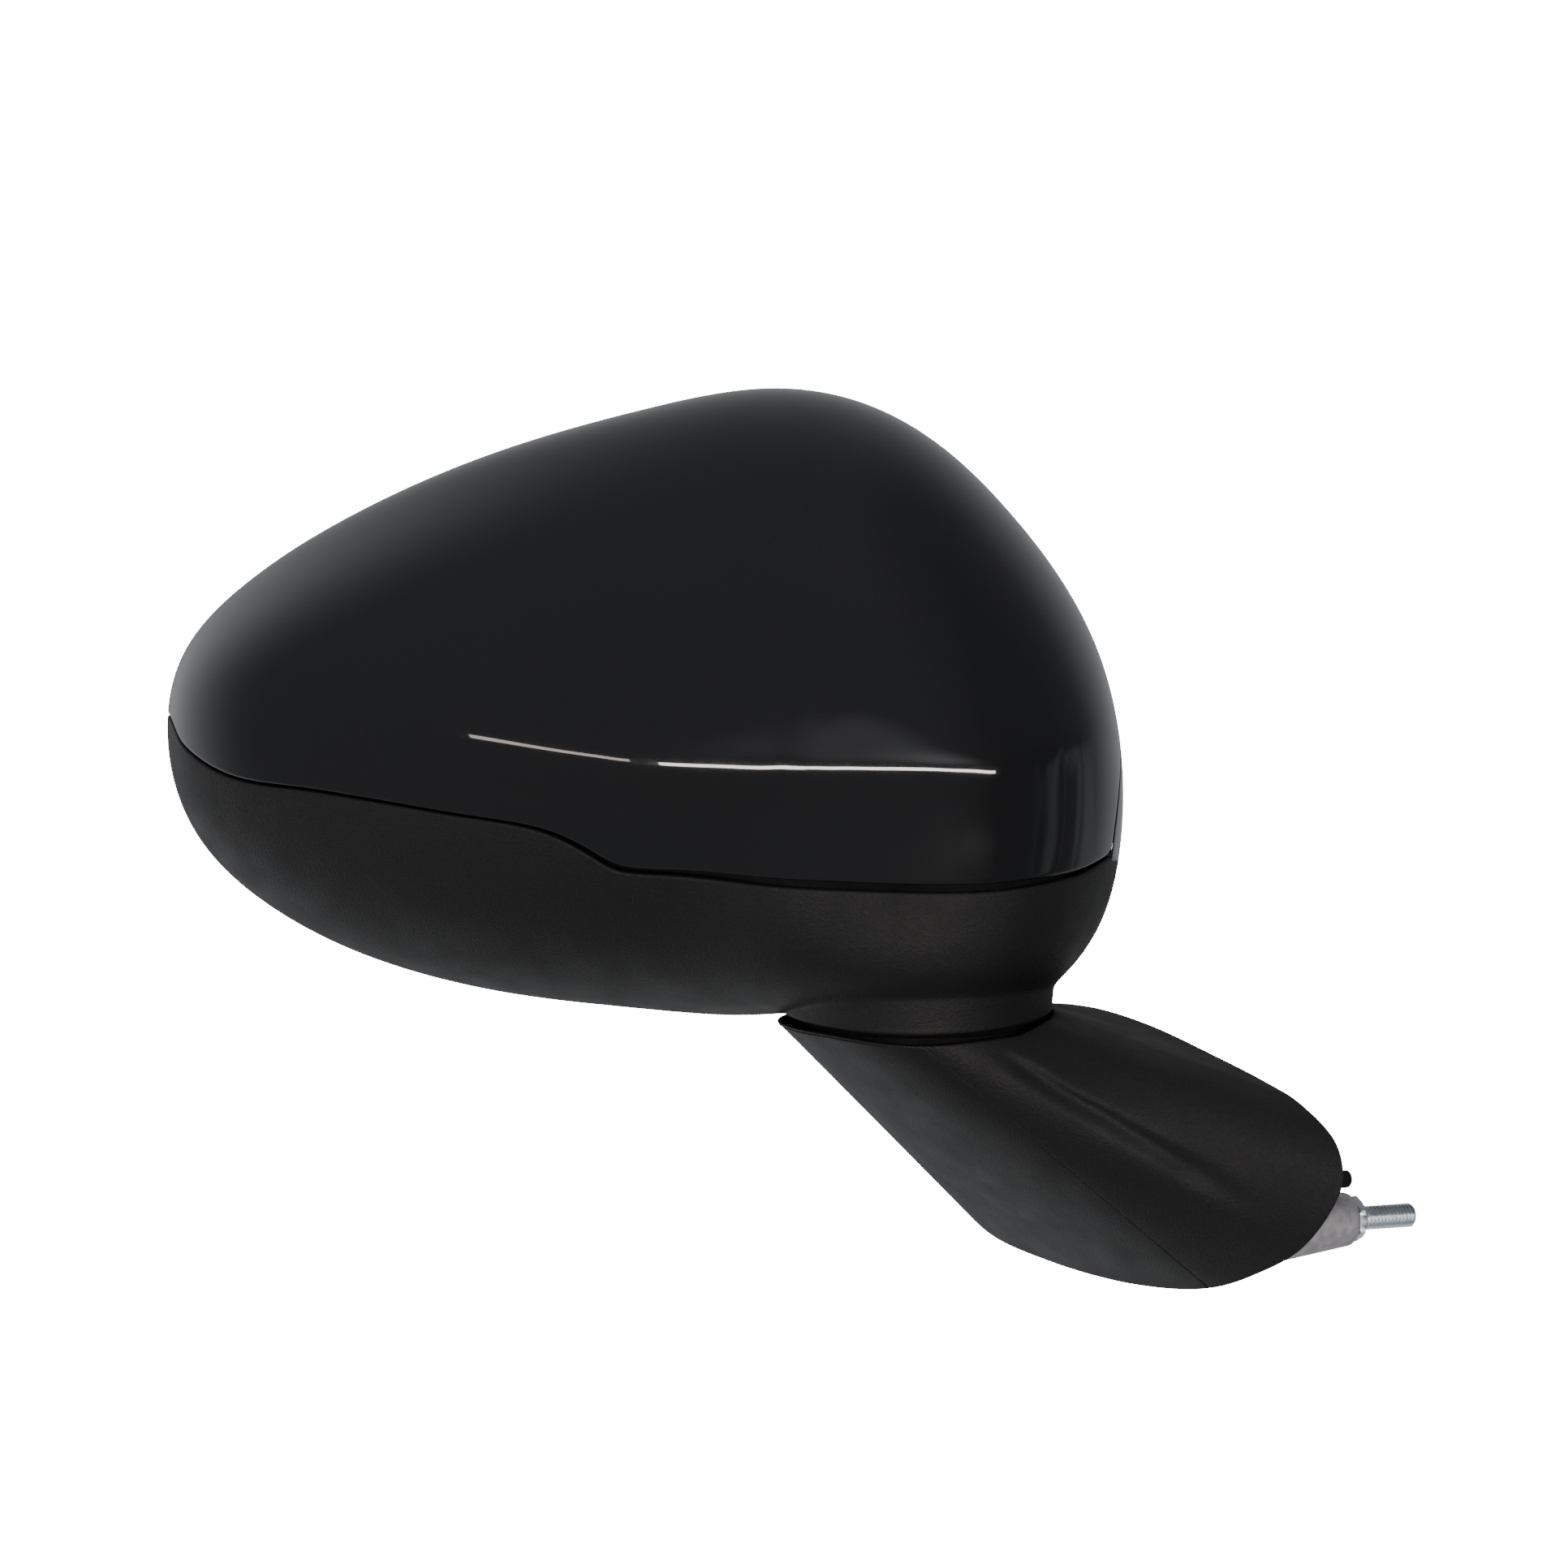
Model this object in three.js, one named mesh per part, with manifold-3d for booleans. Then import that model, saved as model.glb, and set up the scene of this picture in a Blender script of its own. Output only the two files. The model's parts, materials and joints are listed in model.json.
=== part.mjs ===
// Manual-fold exterior door mirror for a car, right-hand side.
// Millimetres. +X points inboard to the door, +Y rearwards, +Z up.
// The design frame has its origin where the fold axis meets the swivel seat; the exported
// group is moved so that the origin lies on the flat door face of the gasket.

import * as THREE from 'three';
import { mergeVertices } from 'three/addons/utils/BufferGeometryUtils.js';
import Module from 'manifold-3d';

const wasm = await Module();
wasm.setup();

// ---------------------------------------------------------------- driving dimensions

const GAP = 0.3;                 // clearance between neighbouring pieces
const WALL = 2.5;                // moulded wall thickness

// Head housing
const WIDEST_Y = 22;             // plane of the widest outline
const RIM_Y = 48;                // rear edge of the two skins
const DOME_DEPTH = 62;           // widest plane to the foremost point
const DOME_CENTRE = [-26.6, 71]; // X and Z of the foremost point
const BAND_RADIUS = 92;          // how quickly the skins close in behind the widest plane
const HEAD_POINTS = 40;          // samples around the outline
const DOME_ROWS = [1, 0.975, 0.9, 0.77, 0.58, 0.3];
const HEAD_OUTLINE = [
  [53.2, 58], [46.8, 90], [23.2, 126.5], [-14.1, 153.6], [-36, 157.1], [-70, 151.6],
  [-107.8, 140.6], [-145.4, 124], [-171, 107.5], [-186.5, 90.8], [-191.5, 69.6],
  [-182.6, 40.7], [-164.4, 23.9], [-126.3, 7.1], [-80, -0.8], [-46, -3], [-20, -0.8], [10, -0.4],
  [36, 6.5], [48.6, 23], [52.6, 40],
];

// Parting line between the painted cap and the lower cover, as X and Z
const SEAM = [
  [-230, 78], [-191, 74], [-186, 67], [-173.6, 59.7], [-148, 57], [-123.8, 52.6],
  [-99.5, 48.9], [-87.4, 46.5], [-75.3, 38.7], [-55, 36.3], [-26.7, 34.7],
  [13.8, 34.5], [41.9, 35.5], [51.2, 38.5], [90, 42],
];
const SEAM_GAP = 0.8;

// Swivel
const BOSS_RADIUS = 35;
const BOSS_TOP = 33;
const POST_RADIUS = 11;
const POST_TOP = 70;
const POST_BORE = 7;
const SLEEVE_INNER = 13;
const SLEEVE_OUTER = 17;
const SLEEVE_TOP = 40;
const SPRING = { low: 42.2, high: 61.8, coil: 13.5, wire: 1.6, turns: 4.5 };
const DETENTS = 4;

// Foot and door face
const SEAT_RADIUS = 35.5;
const SEAT_Z = -2.7;
const DOOR_YAW = 42;             // degrees
const DOOR_TILT = 12;            // degrees, the face looks slightly down
const RIM_TIP = new THREE.Vector3(103.7, -42, -36.8);
const FOOT_POINTS = 30;
const FOOT_ROWS = [0, 0.3, 1];
const FOOT_SLANT = 1.3;          // extra inset at the seat, where the walls lean
// Rim of the foot on the door plane, from its tip: along and up
const FOOT_RIM = [
  [0, 0], [2.8, -8.8], [10.4, -18.5], [22.6, -25.8], [38.1, -31.7], [63.2, -34.2],
  [95.9, -32.2], [120, -27.4], [133, -19], [139, -4], [136, 13], [127, 26], [113, 33],
  [96, 34.4], [74, 32], [48.1, 26.2], [30.9, 21.8], [17.6, 17.5], [3.6, 8.7],
];
// Degrees on the seat that the rim's tip rises to, and how the rest of the rim sways from an even spread
const SEAT_START = -36.2;
const SEAT_SWAY = { once: 15, twice: -6.6, twiceCosine: 7.7 };
const MOUNT_AT = [62, -2];       // origin on the door plane: along, up
const LEAD_AT = [88, -2];        // wiring grommet
const GASKET_PROUD = 0.6;        // gasket face beyond the rim of the covers
const GASKET_THICK = 3;

// Stud and peg on the door side
const STUD_YAW = 21.5;           // degrees from +X
const STUD_AT = [24, -14];
const CONE_LENGTH = 24.8;
const CONE_BASE = 9.4;
const CONE_END = 6.1;
const STUD_RADIUS = 3;
const STUD_LENGTH = 15.5;
const HEX_ACROSS = 10;
const PEG_AT = [13, -1.8];
const PEG_RADIUS = 2.2;
const PEG_LENGTH = 12.5;

// Mirror glass and its adjuster
const PIVOT = new THREE.Vector3(-64, 26, 70);
const GLASS_SCALE = 0.8;
const GLASS_RADIUS = 1260;       // convex sphere
const GLASS_Y = 40;
const TUNNEL_GAP = 3.8;
const TUNNEL_FRONT = 20;
const PLATE_FRONT = 12;
const PLATE_REAR = 15;
const PLUNGER_ARM = 22;
const FIXING_OUT = 3.2;           // screws outside the tunnel wall
const FIXING_RADIUS = 3.4;
const CASE_RADIUS = 38;
const CASE_FRONT = -17;
const COVER_FRONT = 9.3;
const COVER_REAR = 11.7;
const GEAR_Y = 0.5;
const GEAR_RADIUS = 9;
const GEAR_TEETH = 20;
const WORM_RADIUS = 3;
const MOTOR_RADIUS = 8;

// ---------------------------------------------------------------- materials

const finish = (color, roughness, metalness = 0) =>
  new THREE.MeshStandardMaterial({ color, roughness, metalness });

const FINISH = {
  paint: finish(0x16171a, 0.12),
  textured: finish(0x242527, 0.6),
  black: finish(0x1b1c1e, 0.5),
  nylon: finish(0x303236, 0.45),
  white: finish(0xd8d6cc, 0.4),
  zinc: finish(0x8f8c8f, 0.55, 0.8),
  plated: finish(0xc3c7cc, 0.28, 1),
  steel: finish(0x8a8d92, 0.35, 1),
  brass: finish(0xb28a45, 0.35, 1),
  mirror: finish(0xdfe3e6, 0.03, 1),
  foam: finish(0x202020, 0.95),
  rubber: finish(0x161616, 0.85),
  film: finish(0x3a3a3a, 0.6),
};

// ---------------------------------------------------------------- geometry helpers

const radians = THREE.MathUtils.degToRad;
const vector = (x, y, z) => new THREE.Vector3(x, y, z);

// Signed volume of an indexed geometry, used to turn every face outwards.
function signedVolume(geometry) {
  const position = geometry.getAttribute('position');
  const index = geometry.index.array;
  const [a, b, c] = [vector(0, 0, 0), vector(0, 0, 0), vector(0, 0, 0)];
  let volume = 0;
  for (let i = 0; i < index.length; i += 3) {
    a.fromBufferAttribute(position, index[i]);
    b.fromBufferAttribute(position, index[i + 1]);
    c.fromBufferAttribute(position, index[i + 2]);
    volume += a.dot(b.cross(c)) / 6;
  }
  return volume;
}

// A closed geometry with shared vertices becomes a solid.
function solid(geometry) {
  const plain = new THREE.BufferGeometry();
  plain.setAttribute('position', geometry.getAttribute('position').clone());
  if (geometry.index) plain.setIndex(geometry.index.clone());
  const merged = mergeVertices(plain, 1e-4);
  const triangles = Uint32Array.from(merged.index.array);
  if (signedVolume(merged) < 0) triangles.reverse();
  const vertices = Float32Array.from(merged.getAttribute('position').array);
  return new wasm.Manifold(new wasm.Mesh({ numProp: 3, vertProperties: vertices, triVerts: triangles }));
}

function geometryOf(body) {
  const mesh = body.getMesh();
  const geometry = new THREE.BufferGeometry();
  geometry.setAttribute('position', new THREE.BufferAttribute(mesh.vertProperties, 3));
  geometry.setIndex(new THREE.BufferAttribute(mesh.triVerts, 1));
  return geometry;
}

const join = (...bodies) => bodies.reduce((all, body) => all.add(body));
const cut = (body, ...tools) => tools.reduce((left, tool) => left.subtract(tool), body);

// Skin through rings of points; the ends are closed with fans, or the last ring meets the first.
function loft(rings, looped = false) {
  const count = rings[0].length;
  const positions = rings.flat().flatMap((p) => [p.x, p.y, p.z]);
  const index = [];
  const pairs = looped ? rings.length : rings.length - 1;
  for (let row = 0; row < pairs; row += 1) {
    const lower = row * count;
    const upper = ((row + 1) % rings.length) * count;
    for (let i = 0; i < count; i += 1) {
      const j = (i + 1) % count;
      index.push(lower + i, lower + j, upper + j, lower + i, upper + j, upper + i);
    }
  }
  if (!looped) {
    closeEnd(positions, index, rings[0], 0, true);
    closeEnd(positions, index, rings[rings.length - 1], (rings.length - 1) * count, false);
  }
  const geometry = new THREE.BufferGeometry();
  geometry.setAttribute('position', new THREE.Float32BufferAttribute(positions, 3));
  geometry.setIndex(index);
  return solid(geometry);
}

function closeEnd(positions, index, ring, start, reversed) {
  const centre = ring.reduce((sum, p) => sum.add(p), vector(0, 0, 0)).divideScalar(ring.length);
  const hub = positions.length / 3;
  positions.push(centre.x, centre.y, centre.z);
  for (let i = 0; i < ring.length; i += 1) {
    const j = (i + 1) % ring.length;
    if (reversed) index.push(hub, start + j, start + i);
    else index.push(hub, start + i, start + j);
  }
}

function block(x, y, z) {
  const geometry = new THREE.BoxGeometry(x[1] - x[0], y[1] - y[0], z[1] - z[0]);
  geometry.translate((x[0] + x[1]) / 2, (y[0] + y[1]) / 2, (z[0] + z[1]) / 2);
  return solid(geometry);
}

// Turned piece: profile of [radius, distance along the axis] pairs.
function turned(profile, origin, axis, segments = 24) {
  const closes = profile[0][0] !== 0 || profile[profile.length - 1][0] !== 0;
  const points = profile.map(([radius, along]) => new THREE.Vector2(radius, along));
  if (closes) points.push(points[0].clone());
  const geometry = new THREE.LatheGeometry(points, segments);
  const turn = new THREE.Quaternion().setFromUnitVectors(vector(0, 1, 0), axis.clone().normalize());
  geometry.applyQuaternion(turn);
  geometry.translate(origin.x, origin.y, origin.z);
  return solid(geometry);
}

const rod = (radius, low, high, origin, axis, segments = 24) =>
  turned([[0, low], [radius, low], [radius, high], [0, high]], origin, axis, segments);

const ring = (inner, outer, low, high, origin, axis, segments = 24) =>
  turned([[inner, low], [outer, low], [outer, high], [inner, high]], origin, axis, segments);

// Prism of a flat outline given as X and Z, between two Y planes.
function slab(outline, low, high) {
  const shape = new THREE.Shape(outline.map(([x, z]) => new THREE.Vector2(x, z)));
  const geometry = new THREE.ExtrudeGeometry(shape, { depth: high - low, bevelEnabled: false });
  geometry.rotateX(Math.PI / 2);
  geometry.translate(0, high, 0);
  return solid(geometry);
}

// Round wire or lead along a smooth path.
function wire(points, radius, steps, sides = 8) {
  const section = new THREE.Shape();
  for (let i = 0; i < sides; i += 1) {
    const angle = (i / sides) * Math.PI * 2;
    const place = i === 0 ? 'moveTo' : 'lineTo';
    section[place](radius * Math.cos(angle), radius * Math.sin(angle));
  }
  const path = new THREE.CatmullRomCurve3(points);
  return solid(new THREE.ExtrudeGeometry(section, { steps, extrudePath: path, bevelEnabled: false }));
}

const UP = vector(0, 0, 1);
const REAR = vector(0, 1, 0);
const INBOARD = vector(1, 0, 0);
const ORIGIN = vector(0, 0, 0);

// ---------------------------------------------------------------- head surfaces

function closedOutline(points, count) {
  const curve = new THREE.CatmullRomCurve3(points.map(([x, z]) => vector(x, 0, z)), true, 'centripetal');
  return curve.getSpacedPoints(count).slice(0, count).map((p) => [p.x, p.z]);
}

// Moves each point of an outline inwards along its own normal.
function inset(outline, distance) {
  const count = outline.length;
  return outline.map(([x, z], i) => {
    const before = outline[(i + count - 1) % count];
    const after = outline[(i + 1) % count];
    const dx = after[0] - before[0];
    const dz = after[1] - before[1];
    const length = Math.hypot(dx, dz);
    return [x - (dz / length) * distance, z + (dx / length) * distance];
  });
}

const scaled = (outline, factor, [cx, cz]) =>
  outline.map(([x, z]) => [cx + (x - cx) * factor, cz + (z - cz) * factor]);

const headOutline = closedOutline(HEAD_OUTLINE, HEAD_POINTS);
const bandShrink = (y) => Math.sqrt(1 - ((y - WIDEST_Y) / BAND_RADIUS) ** 2);

// Forward bulge of the skin at a fraction of the way from the foremost point to the outline.
// The inboard side is boxier than the outboard side.
function domeDrop(fraction, [x, z]) {
  const angle = Math.atan2(z - DOME_CENTRE[1], x - DOME_CENTRE[0]);
  const power = 2.3 + 1.3 * Math.max(0, Math.cos(angle)) ** 2;
  return Math.sqrt(1 - fraction ** power);
}

// Solid of the head's outside, or of its inside at a given depth below the skin.
function headForm(depth, rear) {
  const outline = inset(headOutline, depth);
  const at = (y) => scaled(outline, bandShrink(y), DOME_CENTRE).map(([x, z]) => vector(x, y, z));
  const rows = [at(rear), at((rear + WIDEST_Y) / 2)];
  DOME_ROWS.forEach((fraction) => {
    const flat = scaled(outline, fraction, DOME_CENTRE);
    rows.push(flat.map((point, i) => {
      const drop = (DOME_DEPTH - depth) * domeDrop(fraction, outline[i]);
      return vector(point[0], WIDEST_Y - drop, point[1]);
    }));
  });
  return loft(rows);
}

const seamLine = new THREE.CatmullRomCurve3(SEAM.map(([x, z]) => vector(x, 0, z)), false, 'centripetal')
  .getPoints(34).map((p) => [p.x, p.z]);

// Everything above or below the parting line, moved by a clearance.
function beyondSeam(upwards, clearance) {
  const far = upwards ? 260 : -90;
  const line = seamLine.map(([x, z]) => [x, z + clearance]);
  return slab([...line, [90, far], [-230, far]], -120, 120);
}

const headShell = cut(headForm(0, RIM_Y), headForm(WALL, RIM_Y + 1));

const skullCap = headShell.intersect(beyondSeam(true, SEAM_GAP / 2));

function lowerCover() {
  const skin = headShell.intersect(beyondSeam(false, -SEAM_GAP / 2));
  const inner = BOSS_RADIUS - WALL;
  const opened = cut(skin, rod(inner, -12, 26, ORIGIN, UP, 40));
  const wall = ring(inner, BOSS_RADIUS, 0, BOSS_TOP, ORIGIN, UP, 40);
  const inside = headForm(WALL, RIM_Y + 1).intersect(block([-80, 80], [-80, 80], [6, 80]));
  return join(opened, cut(wall, inside));
}

// ---------------------------------------------------------------- glass bezel

const glassOutline = scaled(headOutline, GLASS_SCALE, [PIVOT.x, PIVOT.z]);
const tunnelOutline = inset(glassOutline, -TUNNEL_GAP);
const rimOutline = scaled(headOutline, bandShrink(RIM_Y), DOME_CENTRE);
const fixingAngles = [70, 188, 252];
const fixingPoints = fixingAngles.map((degrees) => {
  const nearest = inset(tunnelOutline, -FIXING_OUT).reduce((best, point) => {
    const angle = Math.atan2(point[1] - PIVOT.z, point[0] - PIVOT.x);
    const away = Math.abs(Math.sin((angle - radians(degrees)) / 2));
    return away < best.away ? { away, point } : best;
  }, { away: 9, point: null });
  return nearest.point;
});

function glassBezel() {
  const row = (outline, y) => outline.map(([x, z]) => vector(x, y, z));
  const lip = inset(rimOutline, WALL + 0.6);
  const lipInner = inset(rimOutline, WALL + 2.6);
  const wallOuter = inset(tunnelOutline, -2);
  const frame = loft([
    row(rimOutline, RIM_Y + GAP), row(inset(rimOutline, 0.6), RIM_Y + 1.8),
    row(inset(rimOutline, 2), RIM_Y + 2.6), row(inset(tunnelOutline, -1.2), RIM_Y + 1.4),
    row(tunnelOutline, RIM_Y + 0.4), row(tunnelOutline, TUNNEL_FRONT), row(wallOuter, TUNNEL_FRONT),
    row(wallOuter, RIM_Y - 1.6), row(lipInner, RIM_Y - 1.6), row(lipInner, RIM_Y - 8),
    row(lip, RIM_Y - 8), row(lip, RIM_Y + GAP),
  ], true);
  const pillars = fixingPoints.map(([x, z]) => rod(FIXING_RADIUS, PLATE_REAR + GAP, 38, vector(x, 0, z), REAR, 14));
  const clear = slab(tunnelOutline, 0, RIM_Y + 9);
  const holes = fixingPoints.map(([x, z]) => rod(1.8, 5, 32, vector(x, 0, z), REAR, 8));
  return cut(join(frame, ...pillars.map((pillar) => cut(pillar, clear))), ...holes);
}

// ---------------------------------------------------------------- carrier frame and swivel

const adjusterFixings = [45, 125, 230].map((degrees) => vector(
  PIVOT.x + 33 * Math.cos(radians(degrees)), 0, PIVOT.z + 33 * Math.sin(radians(degrees))));

// Arm of the carrier plate from the adjuster to one fixing of the bezel.
function carrierArm([x, z]) {
  const from = vector(PIVOT.x, 0, PIVOT.z);
  const along = vector(x, 0, z).sub(from);
  const side = vector(-along.z, 0, along.x).normalize();
  const corner = (place, width) => place.clone().addScaledVector(side, width);
  const end = from.clone().add(along);
  const corners = [
    corner(from, -9), corner(end, -FIXING_RADIUS), corner(end, FIXING_RADIUS), corner(from, 9),
  ];
  const arm = slab(corners.map((p) => [p.x, p.z]), PLATE_FRONT, PLATE_REAR);
  return join(arm, rod(FIXING_RADIUS, PLATE_FRONT, PLATE_REAR, vector(x, 0, z), REAR, 16));
}

function carrierFrame() {
  const pivot = vector(PIVOT.x, 0, PIVOT.z);
  const plate = rod(46, PLATE_FRONT, PLATE_REAR, pivot, REAR, 40);
  const bridge = block([-70, 12], [PLATE_FRONT, PLATE_REAR], [26, 58]);
  const web = block([-16, 16], [8, PLATE_FRONT + 0.4], [4, 38]);
  const flange = rod(BOSS_RADIUS - WALL - 0.6, 4, 7.5, ORIGIN, UP, 40)
    .intersect(block([-40, 40], [-40, TUNNEL_FRONT - 1], [0, 10]));
  const sleeve = rod(SLEEVE_OUTER, 4, SLEEVE_TOP, ORIGIN, UP, 32);
  const ribs = [-1, 1].map((side) => block([side * 9 - 1.5, side * 9 + 1.5], [-26, 12], [5, 20]));
  const arms = fixingPoints.map(carrierArm);
  const springRoom = rod(SLEEVE_OUTER + 1, SLEEVE_TOP, POST_TOP + 8, ORIGIN, UP, 32);
  const bore = rod(SLEEVE_INNER, 0, 90, ORIGIN, UP, 32);
  const window = rod(30, 0, 30, pivot, REAR, 32);
  const holes = [...adjusterFixings, ...fixingPoints.map(([x, z]) => vector(x, 0, z))];
  const drilled = holes.map((at) => rod(2, 0, 30, at, REAR, 8));
  const body = join(plate, bridge, web, flange, sleeve, ...ribs, ...arms);
  return cut(body, springRoom, bore, window, ...drilled);
}

// Ring with raised ramps that fall into the notches of its mate.
function detentRing(low, high, rampsUp) {
  const body = ring(SLEEVE_INNER - 0.5, 27, low, high, ORIGIN, UP, 28);
  const pockets = [];
  for (let i = 0; i < DETENTS; i += 1) {
    const angle = (i / DETENTS) * Math.PI * 2 + Math.PI / 4;
    const at = vector(21 * Math.cos(angle), 21 * Math.sin(angle), 0);
    const face = rampsUp ? high : low;
    pockets.push(turned([[0, face - 1.2], [2, face - 1.2], [3.2, face], [3.2, face + 1.2], [0, face + 1.2]],
      at, UP, 8));
  }
  return cut(body, ...pockets);
}

function foldSpring() {
  const { low, high, coil, wire: radius, turns } = SPRING;
  const steps = 42;
  const points = [];
  for (let i = 0; i <= steps; i += 1) {
    const angle = (i / steps) * turns * Math.PI * 2;
    const z = low + radius + (i / steps) * (high - low - 2 * radius);
    points.push(vector(coil * Math.cos(angle), coil * Math.sin(angle), z));
  }
  return wire(points, radius, steps, 6);
}

const retainingRing = () => {
  const body = ring(9.9, 14.5, 64.7, 66.3, ORIGIN, UP, 28);
  return cut(body, block([6, 20], [-2.5, 2.5], [60, 70]));
};

// ---------------------------------------------------------------- adjuster and glass

const fromPivot = (x, y, z) => vector(PIVOT.x + x, y, PIVOT.z + z);
const PIN_REACH = 14.6;

function adjusterCase() {
  const centre = fromPivot(0, 0, 0);
  const cup = turned([[0, CASE_FRONT], [CASE_RADIUS - 2, CASE_FRONT], [CASE_RADIUS, CASE_FRONT + 2],
    [CASE_RADIUS, COVER_REAR], [CASE_RADIUS - 2, COVER_REAR], [CASE_RADIUS - 2, CASE_FRONT + 2],
    [0, CASE_FRONT + 2]], centre, REAR, 30);
  const bosses = adjusterFixings.map((at) => rod(3.2, CASE_FRONT + 1, COVER_FRONT - GAP, at, REAR, 8));
  const holes = adjusterFixings.map((at) => rod(1.7, -8, 20, at, REAR, 8));
  const outside = rod(CASE_RADIUS - 1, -30, 30, centre, REAR, 30);
  const trimmed = bosses.map((boss) => boss.intersect(outside));
  const lead = block([PIVOT.x - 15, PIVOT.x - 5], [CASE_FRONT - 2, CASE_FRONT + 4], [49, 55]);
  return cut(join(cup, ...trimmed), ...holes, lead);
}

function adjusterCover() {
  const centre = fromPivot(0, 0, 0);
  const disc = rod(CASE_RADIUS - 2.4, COVER_FRONT, COVER_REAR, centre, REAR, 30);
  const ears = [-1, 1].map((side) => {
    const low = PIVOT.z + side * 12.9;
    const high = PIVOT.z + side * 15.4;
    return block([PIVOT.x - 3.2, PIVOT.x + 3.2], [COVER_FRONT + 1, PIVOT.y + 3],
      [Math.min(low, high), Math.max(low, high)]);
  });
  const guides = [fromPivot(0, 0, PLUNGER_ARM), fromPivot(PLUNGER_ARM, 0, 0)];
  const collars = guides.map((at) => rod(4.4, COVER_FRONT + 1, COVER_REAR + 3, at, REAR, 12));
  const bores = guides.map((at) => rod(2.9, 0, 30, at, REAR, 12));
  const holes = adjusterFixings.map((at) => rod(2, 0, 30, at, REAR, 8));
  const bearing = rod(1.7, -20, 20, PIVOT, UP, 8);
  return cut(join(disc, ...ears, ...collars), ...bores, ...holes, bearing);
}

function gimbalRing() {
  const body = ring(8.6, 12, -2.6, 2.6, PIVOT, REAR, 20);
  const pins = [UP, INBOARD].flatMap((axis) => [-1, 1].map((side) => {
    const reach = axis.clone().multiplyScalar(side);
    return rod(1.3, 11, PIN_REACH, PIVOT, reach, 8);
  }));
  return join(body, ...pins);
}

// Plunger with a ball that pushes on the glass carrier.
const plunger = (at) => turned([[0, -6], [2.5, -6], [2.5, 22], [1.9, 23], [1.9, 26.6], [2.9, 27.6],
  [3.3, 29], [2.9, 30.6], [1.6, 31.7], [0, 32]], at, REAR, 10);

function gearWheel(at) {
  const blank = ring(3.1, GEAR_RADIUS, GEAR_Y - 2.5, GEAR_Y + 2.5, at, REAR, 20);
  const gashes = [];
  for (let i = 0; i < GEAR_TEETH; i += 1) {
    const angle = (i / GEAR_TEETH) * Math.PI * 2;
    const out = vector(Math.cos(angle), 0, Math.sin(angle)).multiplyScalar(GEAR_RADIUS + 0.3);
    gashes.push(rod(0.9, GEAR_Y - 4, GEAR_Y + 4, at.clone().add(out), REAR, 4));
  }
  return cut(blank, ...gashes);
}

// Worm with turned grooves, along its own axis from the motor face.
function worm(at, axis, length) {
  const profile = [[0, 0], [1.2, 0], [1.2, 2], [WORM_RADIUS, 2]];
  for (let along = 3; along < length - 2.8; along += 2.8) {
    profile.push([WORM_RADIUS, along], [WORM_RADIUS - 0.9, along + 1], [WORM_RADIUS, along + 2]);
  }
  profile.push([WORM_RADIUS, length - 1], [1.2, length - 1], [1.2, length], [0, length]);
  return turned(profile, at, axis, 8);
}

function motor(at, axis) {
  const can = turned([[0, 0], [MOTOR_RADIUS - 0.8, 0], [MOTOR_RADIUS, 0.8], [MOTOR_RADIUS, 17],
    [3, 17.6], [3, 18.4], [0, 18.4]], at, axis, 14);
  return can;
}

// Layer of the convex mirror: both faces follow the same sphere.
function glassLayer(outline, front, rear) {
  const fractions = [1, 0.5];
  const face = (y, fraction) => scaled(outline, fraction, [PIVOT.x, PIVOT.z]).map(([x, z]) => {
    const away = (x - PIVOT.x) ** 2 + (z - PIVOT.z) ** 2;
    return vector(x, y - away / (2 * GLASS_RADIUS), z);
  });
  const rows = fractions.slice().reverse().map((fraction) => face(front, fraction));
  return loft([...rows, ...fractions.map((fraction) => face(rear, fraction))]);
}

function backingPlate() {
  const plate = glassLayer(inset(glassOutline, 0.6), GLASS_Y - 5.2, GLASS_Y - 3.2);
  const ears = [-1, 1].map((side) => {
    const [low, high] = [side * 12.9, side * 15.4].sort((a, b) => a - b);
    return block([PIVOT.x + low, PIVOT.x + high], [PIVOT.y - 3, GLASS_Y - 5], [PIVOT.z - 3.2, PIVOT.z + 3.2]);
  });
  const bearing = rod(1.7, -20, 20, PIVOT, INBOARD, 8);
  const sockets = [fromPivot(0, 0, PLUNGER_ARM), fromPivot(PLUNGER_ARM, 0, 0)]
    .map((at) => ring(4.6, 6.2, 26, GLASS_Y - 5, at, REAR, 14));
  return join(cut(join(plate, ...ears), bearing), ...sockets);
}

// ---------------------------------------------------------------- foot

const doorNormal = vector(
  Math.cos(radians(DOOR_TILT)) * Math.cos(radians(DOOR_YAW)),
  Math.cos(radians(DOOR_TILT)) * Math.sin(radians(DOOR_YAW)), -Math.sin(radians(DOOR_TILT)));
const doorAlong = vector(-Math.sin(radians(DOOR_YAW)), Math.cos(radians(DOOR_YAW)), 0);
const doorUp = doorNormal.clone().cross(doorAlong);
const onDoor = (along, up, out = 0) => RIM_TIP.clone()
  .addScaledVector(doorAlong, along).addScaledVector(doorUp, up).addScaledVector(doorNormal, out);

const footRim = new THREE.CatmullRomCurve3(FOOT_RIM.map(([a, b]) => vector(a, 0, b)), true, 'centripetal')
  .getSpacedPoints(FOOT_POINTS).slice(0, FOOT_POINTS).map((p) => [p.x, p.z]);

// Point of the round seat that a fraction of the way around the rim rises to.
function seatPoint(fraction, radius) {
  const turn = fraction * Math.PI * 2;
  const sway = SEAT_SWAY.once * Math.sin(turn) + SEAT_SWAY.twice * Math.sin(2 * turn)
    + SEAT_SWAY.twiceCosine * Math.cos(2 * turn);
  const angle = radians(SEAT_START - 360 * fraction + sway);
  return vector(radius * Math.cos(angle), radius * Math.sin(angle), SEAT_Z);
}

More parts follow.
